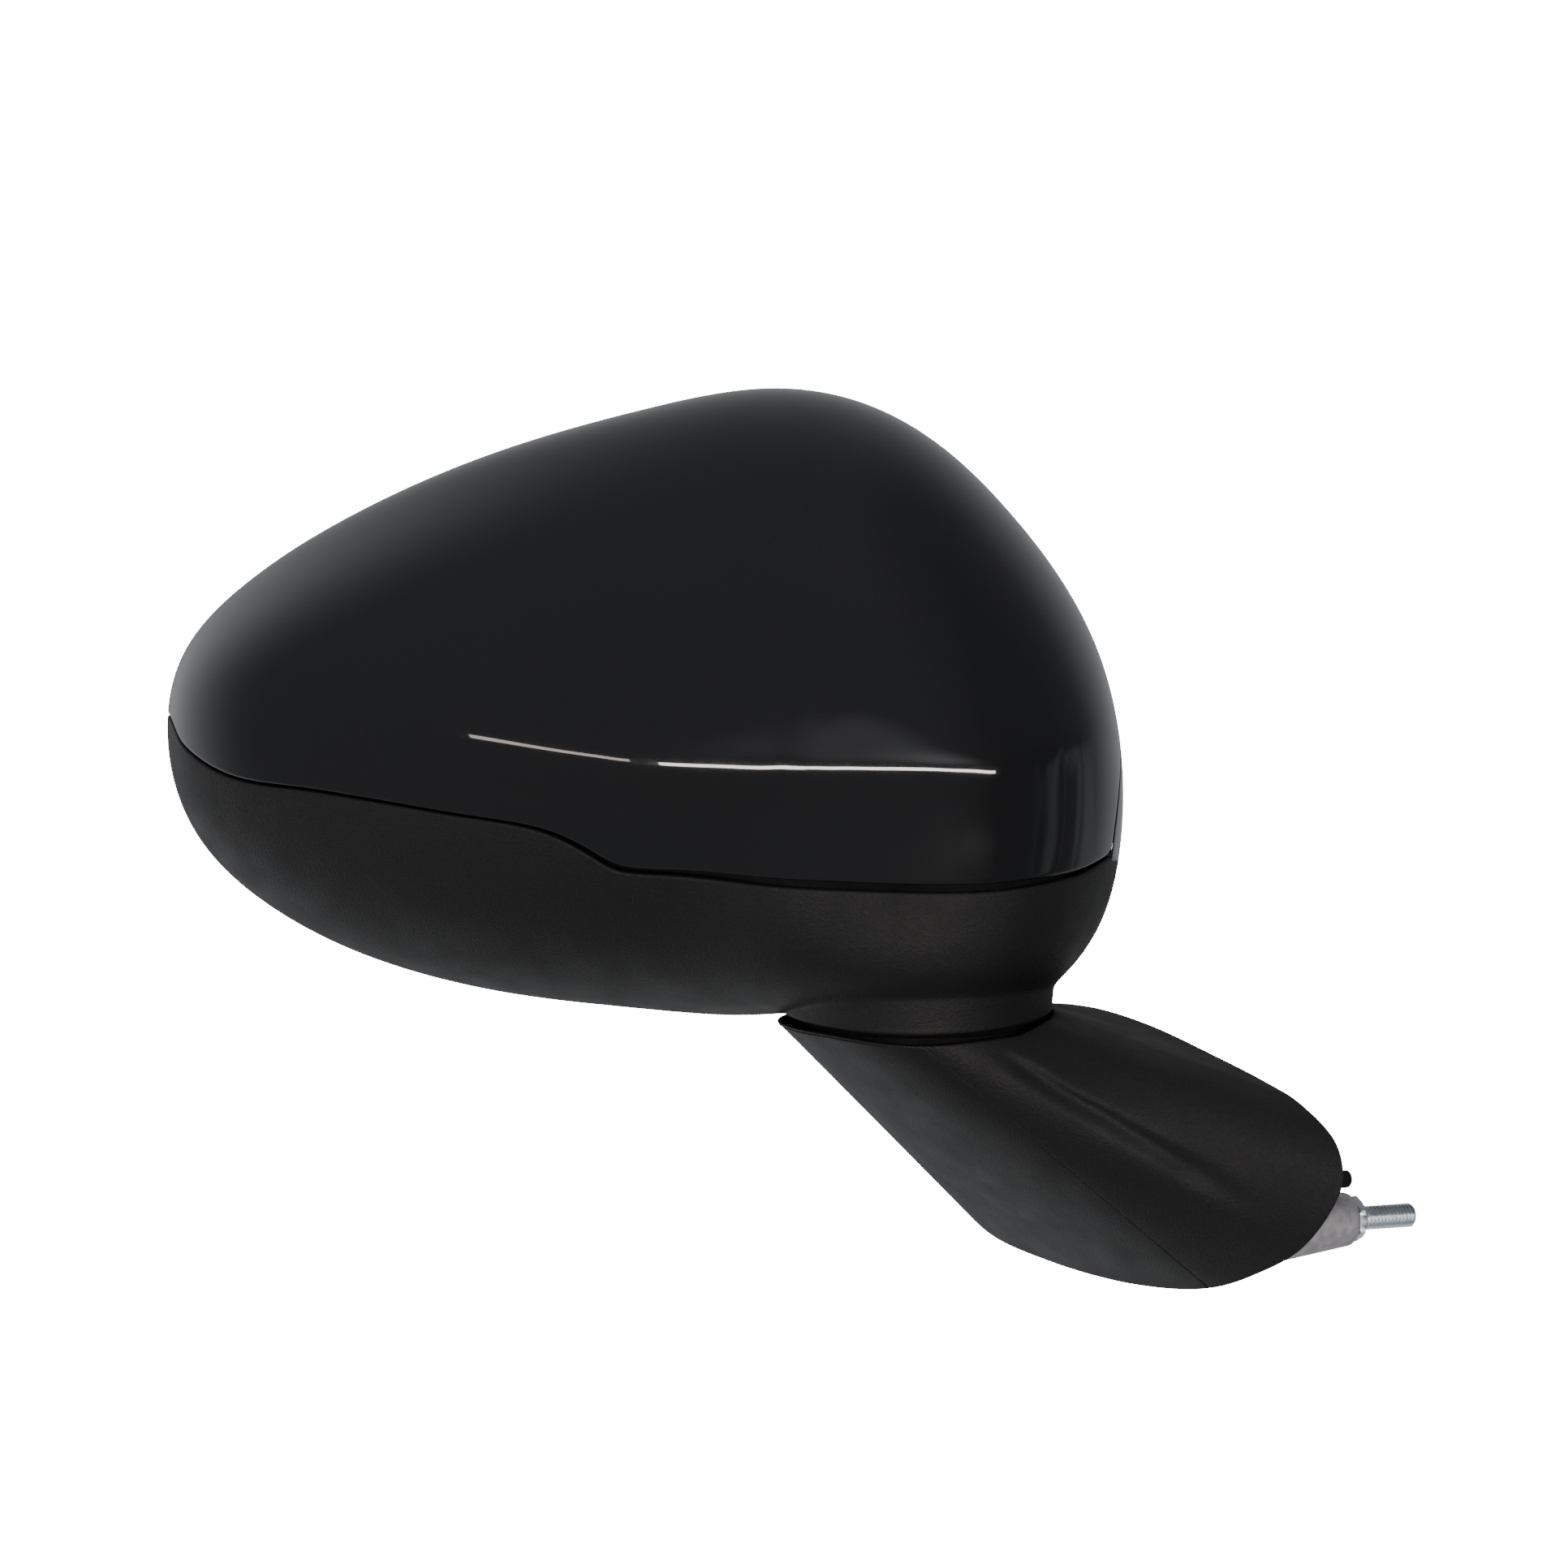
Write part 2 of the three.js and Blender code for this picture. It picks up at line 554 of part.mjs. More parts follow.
// Solid of the foot's outside, or of its inside at a given depth, up to a plane past the door face.
function footForm(depth, beyond = 0) {
  const rim = inset(footRim, depth);
  const radius = SEAT_RADIUS - depth * FOOT_SLANT;
  const rows = FOOT_ROWS.map((fraction) => rim.map(([a, b], i) =>
    seatPoint(i / FOOT_POINTS, radius).lerp(onDoor(a, b), fraction)));
  if (beyond) rows.push(rim.map(([a, b]) => onDoor(a, b, beyond)));
  const form = loft(rows);
  return depth ? form.intersect(block([-200, 200], [-200, 200], [-200, SEAT_Z - depth])) : form;
}

const coverPillars = [[51, -19.5], [125, 0], [68, 18.5]];

// Box in the door face's own directions: along, up and out of the face.
function doorBox(along, up, out) {
  const box = new THREE.BoxGeometry(along[1] - along[0], up[1] - up[0], out[1] - out[0]);
  box.translate((along[0] + along[1]) / 2, (up[0] + up[1]) / 2, (out[0] + out[1]) / 2);
  const frame = new THREE.Matrix4().makeBasis(doorAlong, doorUp, doorNormal).setPosition(RIM_TIP);
  return solid(box.applyMatrix4(frame));
}

// Flat-sided half of space that holds one of the two foot covers.
function coverHalf(sideSign) {
  const front = vector(0, -SEAT_RADIUS, SEAT_Z);
  const low = onDoor(38.1, -31.7);
  const back = vector(6, SEAT_RADIUS, SEAT_Z);
  const normal = low.clone().sub(front).cross(back.clone().sub(front)).normalize();
  if (normal.x < 0) normal.negate();
  const box = new THREE.BoxGeometry(400, 400, 400);
  box.translate(0, 0, sideSign * (200 + GAP / 2));
  box.applyQuaternion(new THREE.Quaternion().setFromUnitVectors(UP, normal));
  box.translate(front.x, front.y, front.z);
  return solid(box);
}

function footCover(sideSign, pillars) {
  const shell = cut(footForm(0), footForm(WALL, 5), rod(31.5, SEAT_Z - WALL - 0.2, 5, ORIGIN, UP, 40));
  const posts = pillars.map(([a, b]) => {
    const post = rod(4.2, -72, -8, onDoor(a, b), doorNormal, 10);
    return post.intersect(footForm(0.4));
  });
  const holes = pillars.map(([a, b]) => rod(1.8, -15.5, 0, onDoor(a, b), doorNormal, 8));
  return cut(join(shell, ...posts).intersect(coverHalf(sideSign)), ...holes);
}

const studAxis = vector(Math.cos(radians(STUD_YAW)), Math.sin(radians(STUD_YAW)), 0);
const studFoot = onDoor(...STUD_AT);

// Tapered boss for the stud: rooted in the nose of the bracket and free beyond the door face.
function studBoss() {
  const cone = turned([[0, -16], [10, -16], [CONE_BASE, 0], [CONE_END + 0.5, CONE_LENGTH - 1.2],
    [CONE_END - 0.9, CONE_LENGTH], [0, CONE_LENGTH]], studFoot, studAxis, 16);
  const rooted = cone.intersect(footForm(4.6, 1));
  return join(rooted, cone.intersect(doorBox([-60, 90], [-60, 60], [0.2, 60])));
}

function baseBracket() {
  const seat = turned([[0, -10], [22, -10], [29.6, SEAT_Z - GAP], [0, SEAT_Z - GAP]], ORIGIN, UP, 28);
  const behindGasket = doorBox([-60, 220], [-90, 90], [-200, GASKET_PROUD - GASKET_THICK - GAP]);
  const wall = footForm(4.6).intersect(block([-200, 200], [-200, 200], [-200, -7.3]));
  const pocket = footForm(8.5, 5).intersect(doorBox([36, 200], [-90, 90], [-200, 20]));
  const groove = ring(9.6, 14, 64.4, 66.6, ORIGIN, UP, 20);
  const post = cut(rod(POST_RADIUS, -9, POST_TOP, ORIGIN, UP, 20), groove);
  const bore = rod(POST_BORE, -30, POST_TOP + 5, ORIGIN, UP, 16);
  const drill = rod(STUD_RADIUS + GAP, 8, CONE_LENGTH + 5, studFoot, studAxis, 12);
  const pegHole = rod(PEG_RADIUS + GAP, -8, 5, onDoor(...PEG_AT), studAxis, 12);
  const clear = coverPillars.map(([a, b]) => rod(4.8, -80, -7.7, onDoor(a, b), doorNormal, 10));
  const lugs = coverPillars.map(([a, b]) => rod(6.5, -7.7, -5.7, onDoor(a, b), doorNormal, 10)
    .intersect(footForm(4.6)));
  const screwHoles = coverPillars.map(([a, b]) => turned(
    [[0, -30], [1.9, -30], [1.9, -5.7], [3.6, -5.7], [3.6, 10], [0, 10]], onDoor(a, b), doorNormal, 8));
  const hollow = cut(join(cut(wall, pocket), seat), ...clear).intersect(behindGasket);
  return cut(join(hollow, post, studBoss(), ...lugs), bore, drill, pegHole, ...screwHoles);
}

function doorGasket() {
  const outline = inset(footRim, WALL + 0.7);
  const rear = outline.map(([a, b]) => onDoor(a, b, GASKET_PROUD));
  const front = outline.map(([a, b]) => onDoor(a, b, GASKET_PROUD - GASKET_THICK));
  const pad = loft([front, rear]).intersect(footForm(WALL + 0.6, 2));
  const cone = rod(CONE_BASE + 1, -20, 20, studFoot, studAxis, 24);
  const peg = rod(PEG_RADIUS + 0.8, -20, 20, onDoor(...PEG_AT), studAxis, 16);
  const lead = rod(7.2, -20, 20, onDoor(...LEAD_AT), doorNormal, 16);
  return cut(pad, cone, peg, lead);
}

const harnessGrommet = () => turned([[2.9, -3.2], [5.4, -3.2], [5.4, -2.4], [6.8, -2.2], [6.8, 0.2],
  [4.6, 0.9], [2.9, 0.9]], onDoor(...LEAD_AT), doorNormal, 14);

function doorStud() {
  const hex = rod(HEX_ACROSS / Math.sqrt(3), CONE_LENGTH + GAP, CONE_LENGTH + 2.1, studFoot, studAxis, 6);
  const shank = rod(STUD_RADIUS, 8.5, CONE_LENGTH + 2.1 + STUD_LENGTH, studFoot, studAxis, 16);
  return join(hex, shank);
}

const locatingPeg = () => turned([[0, -5], [PEG_RADIUS, -5], [PEG_RADIUS, PEG_LENGTH - 1.6],
  [PEG_RADIUS - 0.6, PEG_LENGTH - 0.5], [0, PEG_LENGTH]], onDoor(...PEG_AT), studAxis, 16);

// ---------------------------------------------------------------- fasteners and wiring

// Pan-head screw: the head lies behind its seat and the shank points along the axis.
const screw = (at, axis, seat, length, radius = 1.5) => turned([[0, seat - 2.2],
  [radius * 1.5, seat - 2.2], [radius * 2, seat - 1.4], [radius * 2, seat], [radius, seat],
  [radius, seat + length - 1], [radius * 0.4, seat + length], [0, seat + length]], at, axis, 8);

const footLead = () => wire([onDoor(...LEAD_AT, -0.2), onDoor(...LEAD_AT, -12), vector(14, 3, -27),
  vector(2, 0.4, -14), vector(0, 0, 2), vector(0, 0, 40), vector(0, 0, POST_TOP - 1)], 2.4, 26, 6);

const headLead = () => wire([vector(0, 0, POST_TOP - 0.6), vector(0, 0, POST_TOP + 5),
  vector(-9, -8, POST_TOP + 11), vector(-30, -24, 75), vector(-56, -27, 62),
  vector(PIVOT.x - 10, -25.4, 57)], 2.4, 18, 6);

const adjusterPlug = () => block([PIVOT.x - 14.5, PIVOT.x - 5.5], [-24, CASE_FRONT + 3], [49.5, 54.4]);

// ---------------------------------------------------------------- assembly

const mirror = new THREE.Group();
const originAt = onDoor(...MOUNT_AT, GASKET_PROUD);
mirror.position.copy(originAt).negate();

function place(name, body, material) {
  const mesh = new THREE.Mesh(geometryOf(body), material);
  mesh.name = name;
  mirror.add(mesh);
}

// Foot, fixed to the door
place('foot_cover_front', footCover(-1, coverPillars.slice(0, 2)), FINISH.textured);
place('foot_cover_inboard', footCover(1, coverPillars.slice(2)), FINISH.textured);
place('base_bracket', baseBracket(), FINISH.zinc);
place('door_gasket', doorGasket(), FINISH.foam);
place('harness_grommet', harnessGrommet(), FINISH.rubber);
place('door_stud', doorStud(), FINISH.plated);
place('locating_peg', locatingPeg(), FINISH.rubber);
coverPillars.forEach(([a, b], i) => {
  place(`cover_screw_${i + 1}`, screw(onDoor(a, b), doorNormal.clone().negate(), 5.4, 9), FINISH.steel);
});
place('detent_plate', detentRing(SEAT_Z, -0.3, true), FINISH.steel);
place('spring_washer', ring(POST_RADIUS + 0.4, 16.5, 62.2, 64.4, ORIGIN, UP, 28), FINISH.steel);
place('retaining_ring', retainingRing(), FINISH.steel);
place('foot_lead', footLead(), FINISH.rubber);

// Head, turning on the post
place('skull_cap', skullCap, FINISH.paint);
place('lower_cover', lowerCover(), FINISH.textured);
place('glass_bezel', glassBezel(), FINISH.black);
place('carrier_frame', carrierFrame(), FINISH.nylon);
place('pivot_bush', ring(POST_RADIUS + 0.35, SLEEVE_INNER - 0.35, 6, 38, ORIGIN, UP, 28), FINISH.white);
place('fold_detent_ring', detentRing(0.3, 3.6, false), FINISH.steel);
place('fold_spring', foldSpring(), FINISH.steel);
place('adjuster_case', adjusterCase(), FINISH.nylon);
place('adjuster_cover', adjusterCover(), FINISH.nylon);
place('adjuster_plug', adjusterPlug(), FINISH.white);
place('head_lead', headLead(), FINISH.rubber);
adjusterFixings.forEach((at, i) => {
  place(`adjuster_screw_${i + 1}`, screw(at.clone(), REAR.clone().negate(), -15.3, 18, 1.3), FINISH.steel);
});
fixingPoints.forEach(([x, z], i) => {
  place(`bezel_screw_${i + 1}`, screw(vector(x, 0, z), REAR, PLATE_FRONT - 0.3, 16), FINISH.steel);
});

// Tilt drive (glass up and down) and pan drive (glass side to side)
const wormOffset = PLUNGER_ARM - GEAR_RADIUS - WORM_RADIUS - 0.4;
place('tilt_motor', motor(fromPivot(-27, GEAR_Y, wormOffset), INBOARD), FINISH.steel);
place('tilt_worm', worm(fromPivot(-8.2, GEAR_Y, wormOffset), INBOARD, 15), FINISH.brass);
place('tilt_wheel', gearWheel(fromPivot(0, 0, PLUNGER_ARM)), FINISH.white);
place('tilt_plunger', plunger(fromPivot(0, 0, PLUNGER_ARM)), FINISH.white);
place('pan_motor', motor(fromPivot(wormOffset, GEAR_Y, -28.4), UP), FINISH.steel);
place('pan_worm', worm(fromPivot(wormOffset, GEAR_Y, -9.6), UP, 14), FINISH.brass);
place('pan_wheel', gearWheel(fromPivot(PLUNGER_ARM, 0, 0)), FINISH.white);
place('pan_plunger', plunger(fromPivot(PLUNGER_ARM, 0, 0)), FINISH.white);
place('gimbal_ring', gimbalRing(), FINISH.nylon);

// Glass, its heater and its carrier
place('mirror_glass', glassLayer(glassOutline, GLASS_Y - 2, GLASS_Y), FINISH.mirror);
place('heater_pad', glassLayer(inset(glassOutline, 3), GLASS_Y - 2.9, GLASS_Y - 2.3), FINISH.film);
place('backing_plate', backingPlate(), FINISH.black);

export default mirror;
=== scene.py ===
"""Looks of a folding car side mirror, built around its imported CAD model.

Lengths are millimetres and angles degrees in the head's own directions: the origin is where the fold axis
crosses the swivel seat, X points inboard, Y rearwards and Z up. to_row() turns them into the row frame.
"""

import json
import math

import bmesh
import bpy
import numpy as np
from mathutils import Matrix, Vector


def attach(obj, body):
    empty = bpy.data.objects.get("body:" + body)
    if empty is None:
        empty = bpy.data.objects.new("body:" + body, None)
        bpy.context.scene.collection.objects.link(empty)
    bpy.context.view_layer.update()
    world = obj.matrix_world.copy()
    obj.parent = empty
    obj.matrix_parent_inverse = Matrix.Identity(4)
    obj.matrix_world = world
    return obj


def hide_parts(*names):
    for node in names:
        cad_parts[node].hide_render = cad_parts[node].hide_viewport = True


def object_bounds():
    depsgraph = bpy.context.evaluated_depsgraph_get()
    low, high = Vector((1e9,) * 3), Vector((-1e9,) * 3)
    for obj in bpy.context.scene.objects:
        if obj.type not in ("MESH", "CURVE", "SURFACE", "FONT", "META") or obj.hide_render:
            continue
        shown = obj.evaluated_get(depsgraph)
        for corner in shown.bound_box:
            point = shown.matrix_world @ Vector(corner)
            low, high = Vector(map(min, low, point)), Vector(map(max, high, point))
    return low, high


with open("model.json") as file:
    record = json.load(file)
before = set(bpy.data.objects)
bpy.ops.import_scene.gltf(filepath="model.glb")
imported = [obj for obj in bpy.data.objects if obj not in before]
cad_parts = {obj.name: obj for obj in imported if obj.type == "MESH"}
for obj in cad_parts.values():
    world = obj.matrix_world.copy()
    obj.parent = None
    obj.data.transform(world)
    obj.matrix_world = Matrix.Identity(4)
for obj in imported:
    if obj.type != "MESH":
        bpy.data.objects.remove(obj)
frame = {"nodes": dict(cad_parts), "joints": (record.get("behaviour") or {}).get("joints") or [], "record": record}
cad_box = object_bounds()
JOINTS = {joint["name"]: joint for joint in frame["joints"]}
ORIGIN_M = np.array(JOINTS["head_fold"]["pos_m"])

# Head
WIDEST_Y = 22.0
RIM_Y = 48.0
DOME_DEPTH = 62.0
DOME_POWER = {"outboard": 2.3, "more_inboard": 1.3, "more_over_boss": 8.0}
BULK_ANGLE = -1.25
BULK_WIDTH = 0.52
DOME_CENTRE = (-26.6, 71.0)
BAND_RADIUS = 92.0
WALL = 2.4
HEAD_OUTLINE = [
    (53.2, 58), (46.8, 90), (23.2, 126.5), (-14.1, 153.6), (-36, 157.1), (-70, 151.6),
    (-107.8, 140.6), (-145.4, 124), (-171, 107.5), (-186.5, 90.8), (-191.5, 69.6),
    (-182.6, 40.7), (-164.4, 23.9), (-126.3, 7.1), (-80, -0.8), (-46, -3), (-20, -0.8), (10, -0.4),
    (36, 6.5), (48.6, 23), (52.6, 40),
]
SEAM = [
    (-230, 78), (-191, 74), (-186, 67), (-173.6, 60.3), (-150, 57.6), (-130.5, 55), (-114.6, 52.7),
    (-97.5, 50.4), (-90.1, 48.7), (-84.1, 45.9), (-79.1, 43.1), (-75.9, 40.4), (-73.6, 39.7),
    (-58, 39.2), (-33, 37.4), (-2, 36.4), (22.5, 36.5), (41, 38), (50, 40.6), (90, 44),
]
SEAM_GROOVE = [(-230, 0.5), (-100, 0.6), (-76, 1.2), (-40, 2.1), (20, 2.1), (52, 1.0), (90, 1.0)]
CREASE = [
    (-150, 78), (-122.5, 73.2), (-70.7, 65.1), (-48, 63.6), (-37, 63.3), (-29, 64.4), (-22, 64.3),
    (-8, 64.5), (4, 64.4), (13, 64.2), (19, 64.0), (31, 68.4), (44.9, 73.2), (60, 77),
]
CREASE_HEIGHT = 3.0
CREASE_REACH = 20.0
CREASE_SOFTNESS = 3.6
SHUT_LINE = {"start": -22.0, "end": 14.0, "foremost": -3.0}

# Swivel boss under the head
BOSS_RADIUS = 34.2
BOSS_FLARE = 0.09
BOSS_CORNER = 1.2
BOSS_DIP = 2.0
BOSS_TOP = 80.0
BLEND_FADE = (30.0, 57.0)
BOSS_HOLE = 31.0

# Foot
SEAT_RADIUS = 35.5
SEAT_RIM = [
    (-180, -2.4), (-165, -2.2), (-140, -2.4), (-90, -4.3), (-50, -3.2), (-20, -0.9), (0, 0.0), (20, -0.3),
    (40, -0.5), (60, -1.2), (80, -2.1), (100, -2.4), (160, -2.4), (180, -2.4),
]
DOOR_YAW = 42.0
DOOR_TILT = 12.0
RIM_TIP = np.array([103.7, -42.0, -36.8])
FOOT_RIM = [
    (0, 0), (2.8, -8.8), (10.4, -18.5), (22.6, -25.8), (38.1, -31.7), (63.2, -34.2),
    (95.9, -32.2), (120, -27.4), (133, -19), (139, -4), (136, 13), (127, 26), (113, 33),
    (96, 34.4), (74, 32), (48.1, 26.2), (30.9, 21.8), (17.6, 17.5), (3.6, 8.7),
]
SEAT_START = -36.2
SEAT_SWAY = {"once": 15.0, "twice": -6.6, "twice_cosine": 7.7}
FOOT_SPLITS = (0.155, 0.66)
FLUTE = [(0.0, 1.088), (0.22, 1.084), (0.37, 1.072), (0.6, 1.062), (1.0, 1.052)]
FLUTE_DEPTH = 1.8
FLUTE_WIDTH = 0.013
FLUTE_SINKS = np.array([0.25, -0.9, -0.35])
FOOT_SKIN = 0.8

# Black seal ring between foot and boss and a black liner in the socket: partly the real seal, partly painted shade
# that darkens the gap
SEAL_AND_SHADE_RING = {"inner": 29.2, "collar": 30.0, "outer": 31.1, "bulge": 31.3, "step": -2.7, "top": 1.5}
SHADE_LINER = {"inner": 34.55, "outer": 34.9, "deeper_at_foot": 5.0}

# Door side
STUD_YAW = 21.5
STUD_AT = (24.0, -14.0)
CONE = {"length": 24.8, "base": 9.4, "end": 6.1}
STUD = {"radius": 3.1, "pitch": 1.0, "root": 9.0, "collar": (25.1, 27.0), "tip": 42.4}
HEXAGON = {"flats": 10.2, "corner": 5.8}
PEG_AT = (13.0, -1.8)
PEG = {"radius": 2.2, "length": 13.8}

# Mirror glass
PIVOT = np.array([-64.0, 26.0, 70.0])
GLASS_SCALE = 0.8
GLASS_SPHERE = 1260.0
GLASS_Y = 40.0
GLASS_THICK = 2.0
TUNNEL_GAP = 3.8
TUNNEL_FRONT = 20.0

# Camera
AIM = np.array([-33.6, 0.0, 57.7])
CAMERA_AWAY = 1400.0
CAMERA_UP = 5.0
VIEW_WIDTH = 396.0

# Studio
WHITE_LEVEL = 16.0
FRONT_LEVEL = 0.17
BACK_LEVEL = 0.26
LEFT_LEVEL = 0.66
BELOW_LEVEL = 0.35
UPPER_SHADE = 0.4
RIGHT_SHADE = 0.5
SKY_COLOUR = (0.955, 0.968, 1.0, 1)
GLOW_LEVEL = 0.6
GLOW_WAY = (0.25, -0.96, 0.1)
GLOW_STRETCH = (2.6, 2.6, 16.0)
CLOUD_LEVEL = 0.25
CLOUD_WAY = (0.97, 0.1, -0.15)
CLOUD_STRETCH = (1.6, 1.6, 3.2)
FLOOR_BELOW = 260.0
FILL_SIZE = (600, 600)
FILL_COLOUR = (0.985, 0.965, 1.0)


# ------------------------------------------------------------------ numbers and curves


def to_row(points):
    """Points in the head's millimetres as metres in the row frame."""
    return ORIGIN_M + np.asarray(points, float) / 1000


def unit(vectors):
    return vectors / np.linalg.norm(vectors, axis=-1, keepdims=True)


def dot(a, b):
    return np.sum(a * b, axis=-1, keepdims=True)


def smoothstep(low, high, value):
    share = np.clip((value - low) / (high - low), 0, 1)
    return share * share * (3 - 2 * share)


def table(pairs, value):
    """Value read from a short list of (place, value) pairs."""
    places, values = np.array(pairs, float).T
    return np.interp(value, places, values)


def smooth_table(pairs, value):
    """Like table, with an eased step between neighbours."""
    places, values = np.array(pairs, float).T
    i = np.clip(np.searchsorted(places, value) - 1, 0, len(places) - 2)
    share = (value - places[i]) / (places[i + 1] - places[i])
    return values[i] + (values[i + 1] - values[i]) * smoothstep(0, 1, share)


def centripetal(points, closed, per_span=24):
    """Dense Catmull-Rom curve through the points, with knots spaced by the root of each span."""
    p = np.array(points, float)
    if closed:
        p = np.vstack([p[-1], p, p[0], p[1]])
    else:
        p = np.vstack([2 * p[0] - p[1], p, 2 * p[-1] - p[-2]])
    curve = []
    for a, b, c, d in zip(p, p[1:], p[2:], p[3:]):
        t1 = np.linalg.norm(b - a) ** 0.5
        t2 = t1 + np.linalg.norm(c - b) ** 0.5
        t3 = t2 + np.linalg.norm(d - c) ** 0.5
        t = np.linspace(t1, t2, per_span, endpoint=False)[:, None]
        ab = (t1 - t) / t1 * a + t / t1 * b
        bc = (t2 - t) / (t2 - t1) * b + (t - t1) / (t2 - t1) * c
        cd = (t3 - t) / (t3 - t2) * c + (t - t2) / (t3 - t2) * d
        abc = (t2 - t) / t2 * ab + t / t2 * bc
        bcd = (t3 - t) / (t3 - t1) * bc + (t - t1) / (t3 - t1) * cd
        curve.append((t2 - t) / (t2 - t1) * abc + (t - t1) / (t2 - t1) * bcd)
    curve = np.vstack(curve)
    end = curve[0] if closed else p[-2]
    return np.vstack([curve, end])


def along(curve, fractions):
    """Points at fractions of the curve's length."""
    steps = np.linalg.norm(np.diff(curve, axis=0), axis=1)
    lengths = np.concatenate([[0], np.cumsum(steps)]) / steps.sum()
    return np.stack([np.interp(fractions, lengths, axis) for axis in curve.T], -1)


def periodic_spline(knots, values):
    """Function of an angle through the given values, with even curvature all the way around."""
    order = np.argsort(knots)
    t, v = np.asarray(knots, float)[order], np.asarray(values, float)[order]
    count = len(t)
    span = np.diff(np.append(t, t[0] + 2 * math.pi))
    slope = np.diff(np.append(v, v[0])) / span
    matrix = np.zeros((count, count))
    for i in range(count):
        matrix[i, i - 1] += span[i - 1]
        matrix[i, i] += 2 * (span[i - 1] + span[i])
        matrix[i, (i + 1) % count] += span[i]
    bend = np.linalg.solve(matrix, 6 * (slope - np.roll(slope, 1)))

    def evaluate(angle):
        a = t[0] + np.mod(angle - t[0], 2 * math.pi)
        i = np.clip(np.searchsorted(t, a, side="right") - 1, 0, count - 1)
        j = (i + 1) % count
        after = a - t[i]
        before = span[i] - after
        cubic = (bend[i] * before**3 + bend[j] * after**3) / (6 * span[i])
        left = (v[i] / span[i] - bend[i] * span[i] / 6) * before
        right = (v[j] / span[i] - bend[j] * span[i] / 6) * after
        return cubic + left + right

    return evaluate


# ------------------------------------------------------------------ the head's surface

_offsets = np.array(HEAD_OUTLINE) - DOME_CENTRE
outline_radius = periodic_spline(np.arctan2(_offsets[:, 1], _offsets[:, 0]), np.hypot(*_offsets.T))
seam_curve = centripetal(SEAM, closed=False)
crease_curve = centripetal(CREASE, closed=False)


def dome_power(angle):
    """The inboard side is boxier than the outboard side, and the bulk over the boss is boxier still."""
    outboard, inboard, bulk = DOME_POWER.values()
    over_boss = np.exp(-(((angle - BULK_ANGLE) / BULK_WIDTH) ** 2))
    return outboard + inboard * np.maximum(0, np.cos(angle)) ** 2 + bulk * over_boss


def boss_bottom(x, y):
    """Z of the boss's lower edge, which dips a little at the front."""
    facing_front = np.clip(-y / np.maximum(np.hypot(x, y), 1.0), 0, 1)
    return -0.2 - BOSS_DIP * facing_front**2


def band_shrink(y):
    behind = np.clip(y - WIDEST_Y, 0, BAND_RADIUS * 0.9)
    return np.sqrt(1 - (behind / BAND_RADIUS) ** 2)


def crease_rise(x, y, z):
    """How far the soft feature line across the front stands proud."""
    away = z - np.interp(x, crease_curve[:, 0], crease_curve[:, 1])
    rise = CREASE_HEIGHT * np.exp(-np.sqrt(away**2 + CREASE_SOFTNESS**2) / CREASE_REACH)
    front = smoothstep(18, -22, y)
    return rise * front * smoothstep(-150, -70, x)


def head_field(p):
    """Roughly the distance outside the head in mm, negative inside it."""
    x, y, z = p[..., 0], p[..., 1], p[..., 2]
    dx, dz = x - DOME_CENTRE[0], z - DOME_CENTRE[1]
    angle = np.arctan2(dz, dx)
    share = np.hypot(dx, dz) / (outline_radius(angle) * band_shrink(y))
    ahead = np.clip(WIDEST_Y - y, 0, None) / DOME_DEPTH
    dome = (np.sqrt(share ** dome_power(angle) + ahead**2) - 1) * 60 - crease_rise(x, y, z)
    out = np.hypot(x, y) - BOSS_RADIUS - BOSS_FLARE * np.clip(z, 0, 20) + BOSS_CORNER
    down = np.maximum(boss_bottom(x, y) + BOSS_CORNER - z, z - BOSS_TOP)
    corner = np.hypot(np.maximum(out, 0), np.maximum(down, 0))
    boss = corner + np.minimum(np.maximum(out, down), 0) - BOSS_CORNER
    blend = 1 + 9 * smoothstep(0, 16, z)
    near = np.maximum(blend - np.abs(dome - boss), 0) / blend
    return np.minimum(dome, boss) - near**2 * blend / 4 * (1 - smoothstep(*BLEND_FADE, z))


def head_normals(points, step=0.05):
    gradient = [head_field(points + step * axis) - head_field(points - step * axis) for axis in np.eye(3)]
    return unit(np.stack(gradient, -1))


def cast(start, through, low=0.3, high=2.2):
    """Points where rays from a start inside the head leave it."""
    ray = through - start
    near = np.full(ray.shape[:-1] + (1,), low)
    far = np.full(ray.shape[:-1] + (1,), high)
    for _ in range(34):
        middle = (near + far) / 2
        outside = head_field(start + ray * middle)[..., None] > 0
        far = np.where(outside, middle, far)
        near = np.where(outside, near, middle)
    return start + ray * (near + far) / 2


# The head laid flat: X and Z as seen from the front, with the band behind the widest plane spread outwards.


def flat_from_front(points):
    """Flat place of points of the front given as X and Z."""
    offset = points - DOME_CENTRE
    angle = np.arctan2(offset[:, 1], offset[:, 0])
    share = np.clip(np.hypot(*offset.T) / outline_radius(angle), 0, 1)
    return flat_place(angle, np.arcsin(share) * 2 / math.pi)


def flat_place(angle, spread):
    radius = spread * outline_radius(angle)
    return np.stack([radius * np.cos(angle), radius * np.sin(angle)], -1)


def spread_at(angle, y):
    """Flat spread of the skin at a depth Y on one meridian."""
    ahead = np.clip(WIDEST_Y - y, 0, DOME_DEPTH) / DOME_DEPTH
    share = np.clip(1 - ahead**2, 0, 1) ** (1 / dome_power(angle))
    return np.arcsin(share) * 2 / math.pi + np.clip(y - WIDEST_Y, 0, None) / DOME_DEPTH


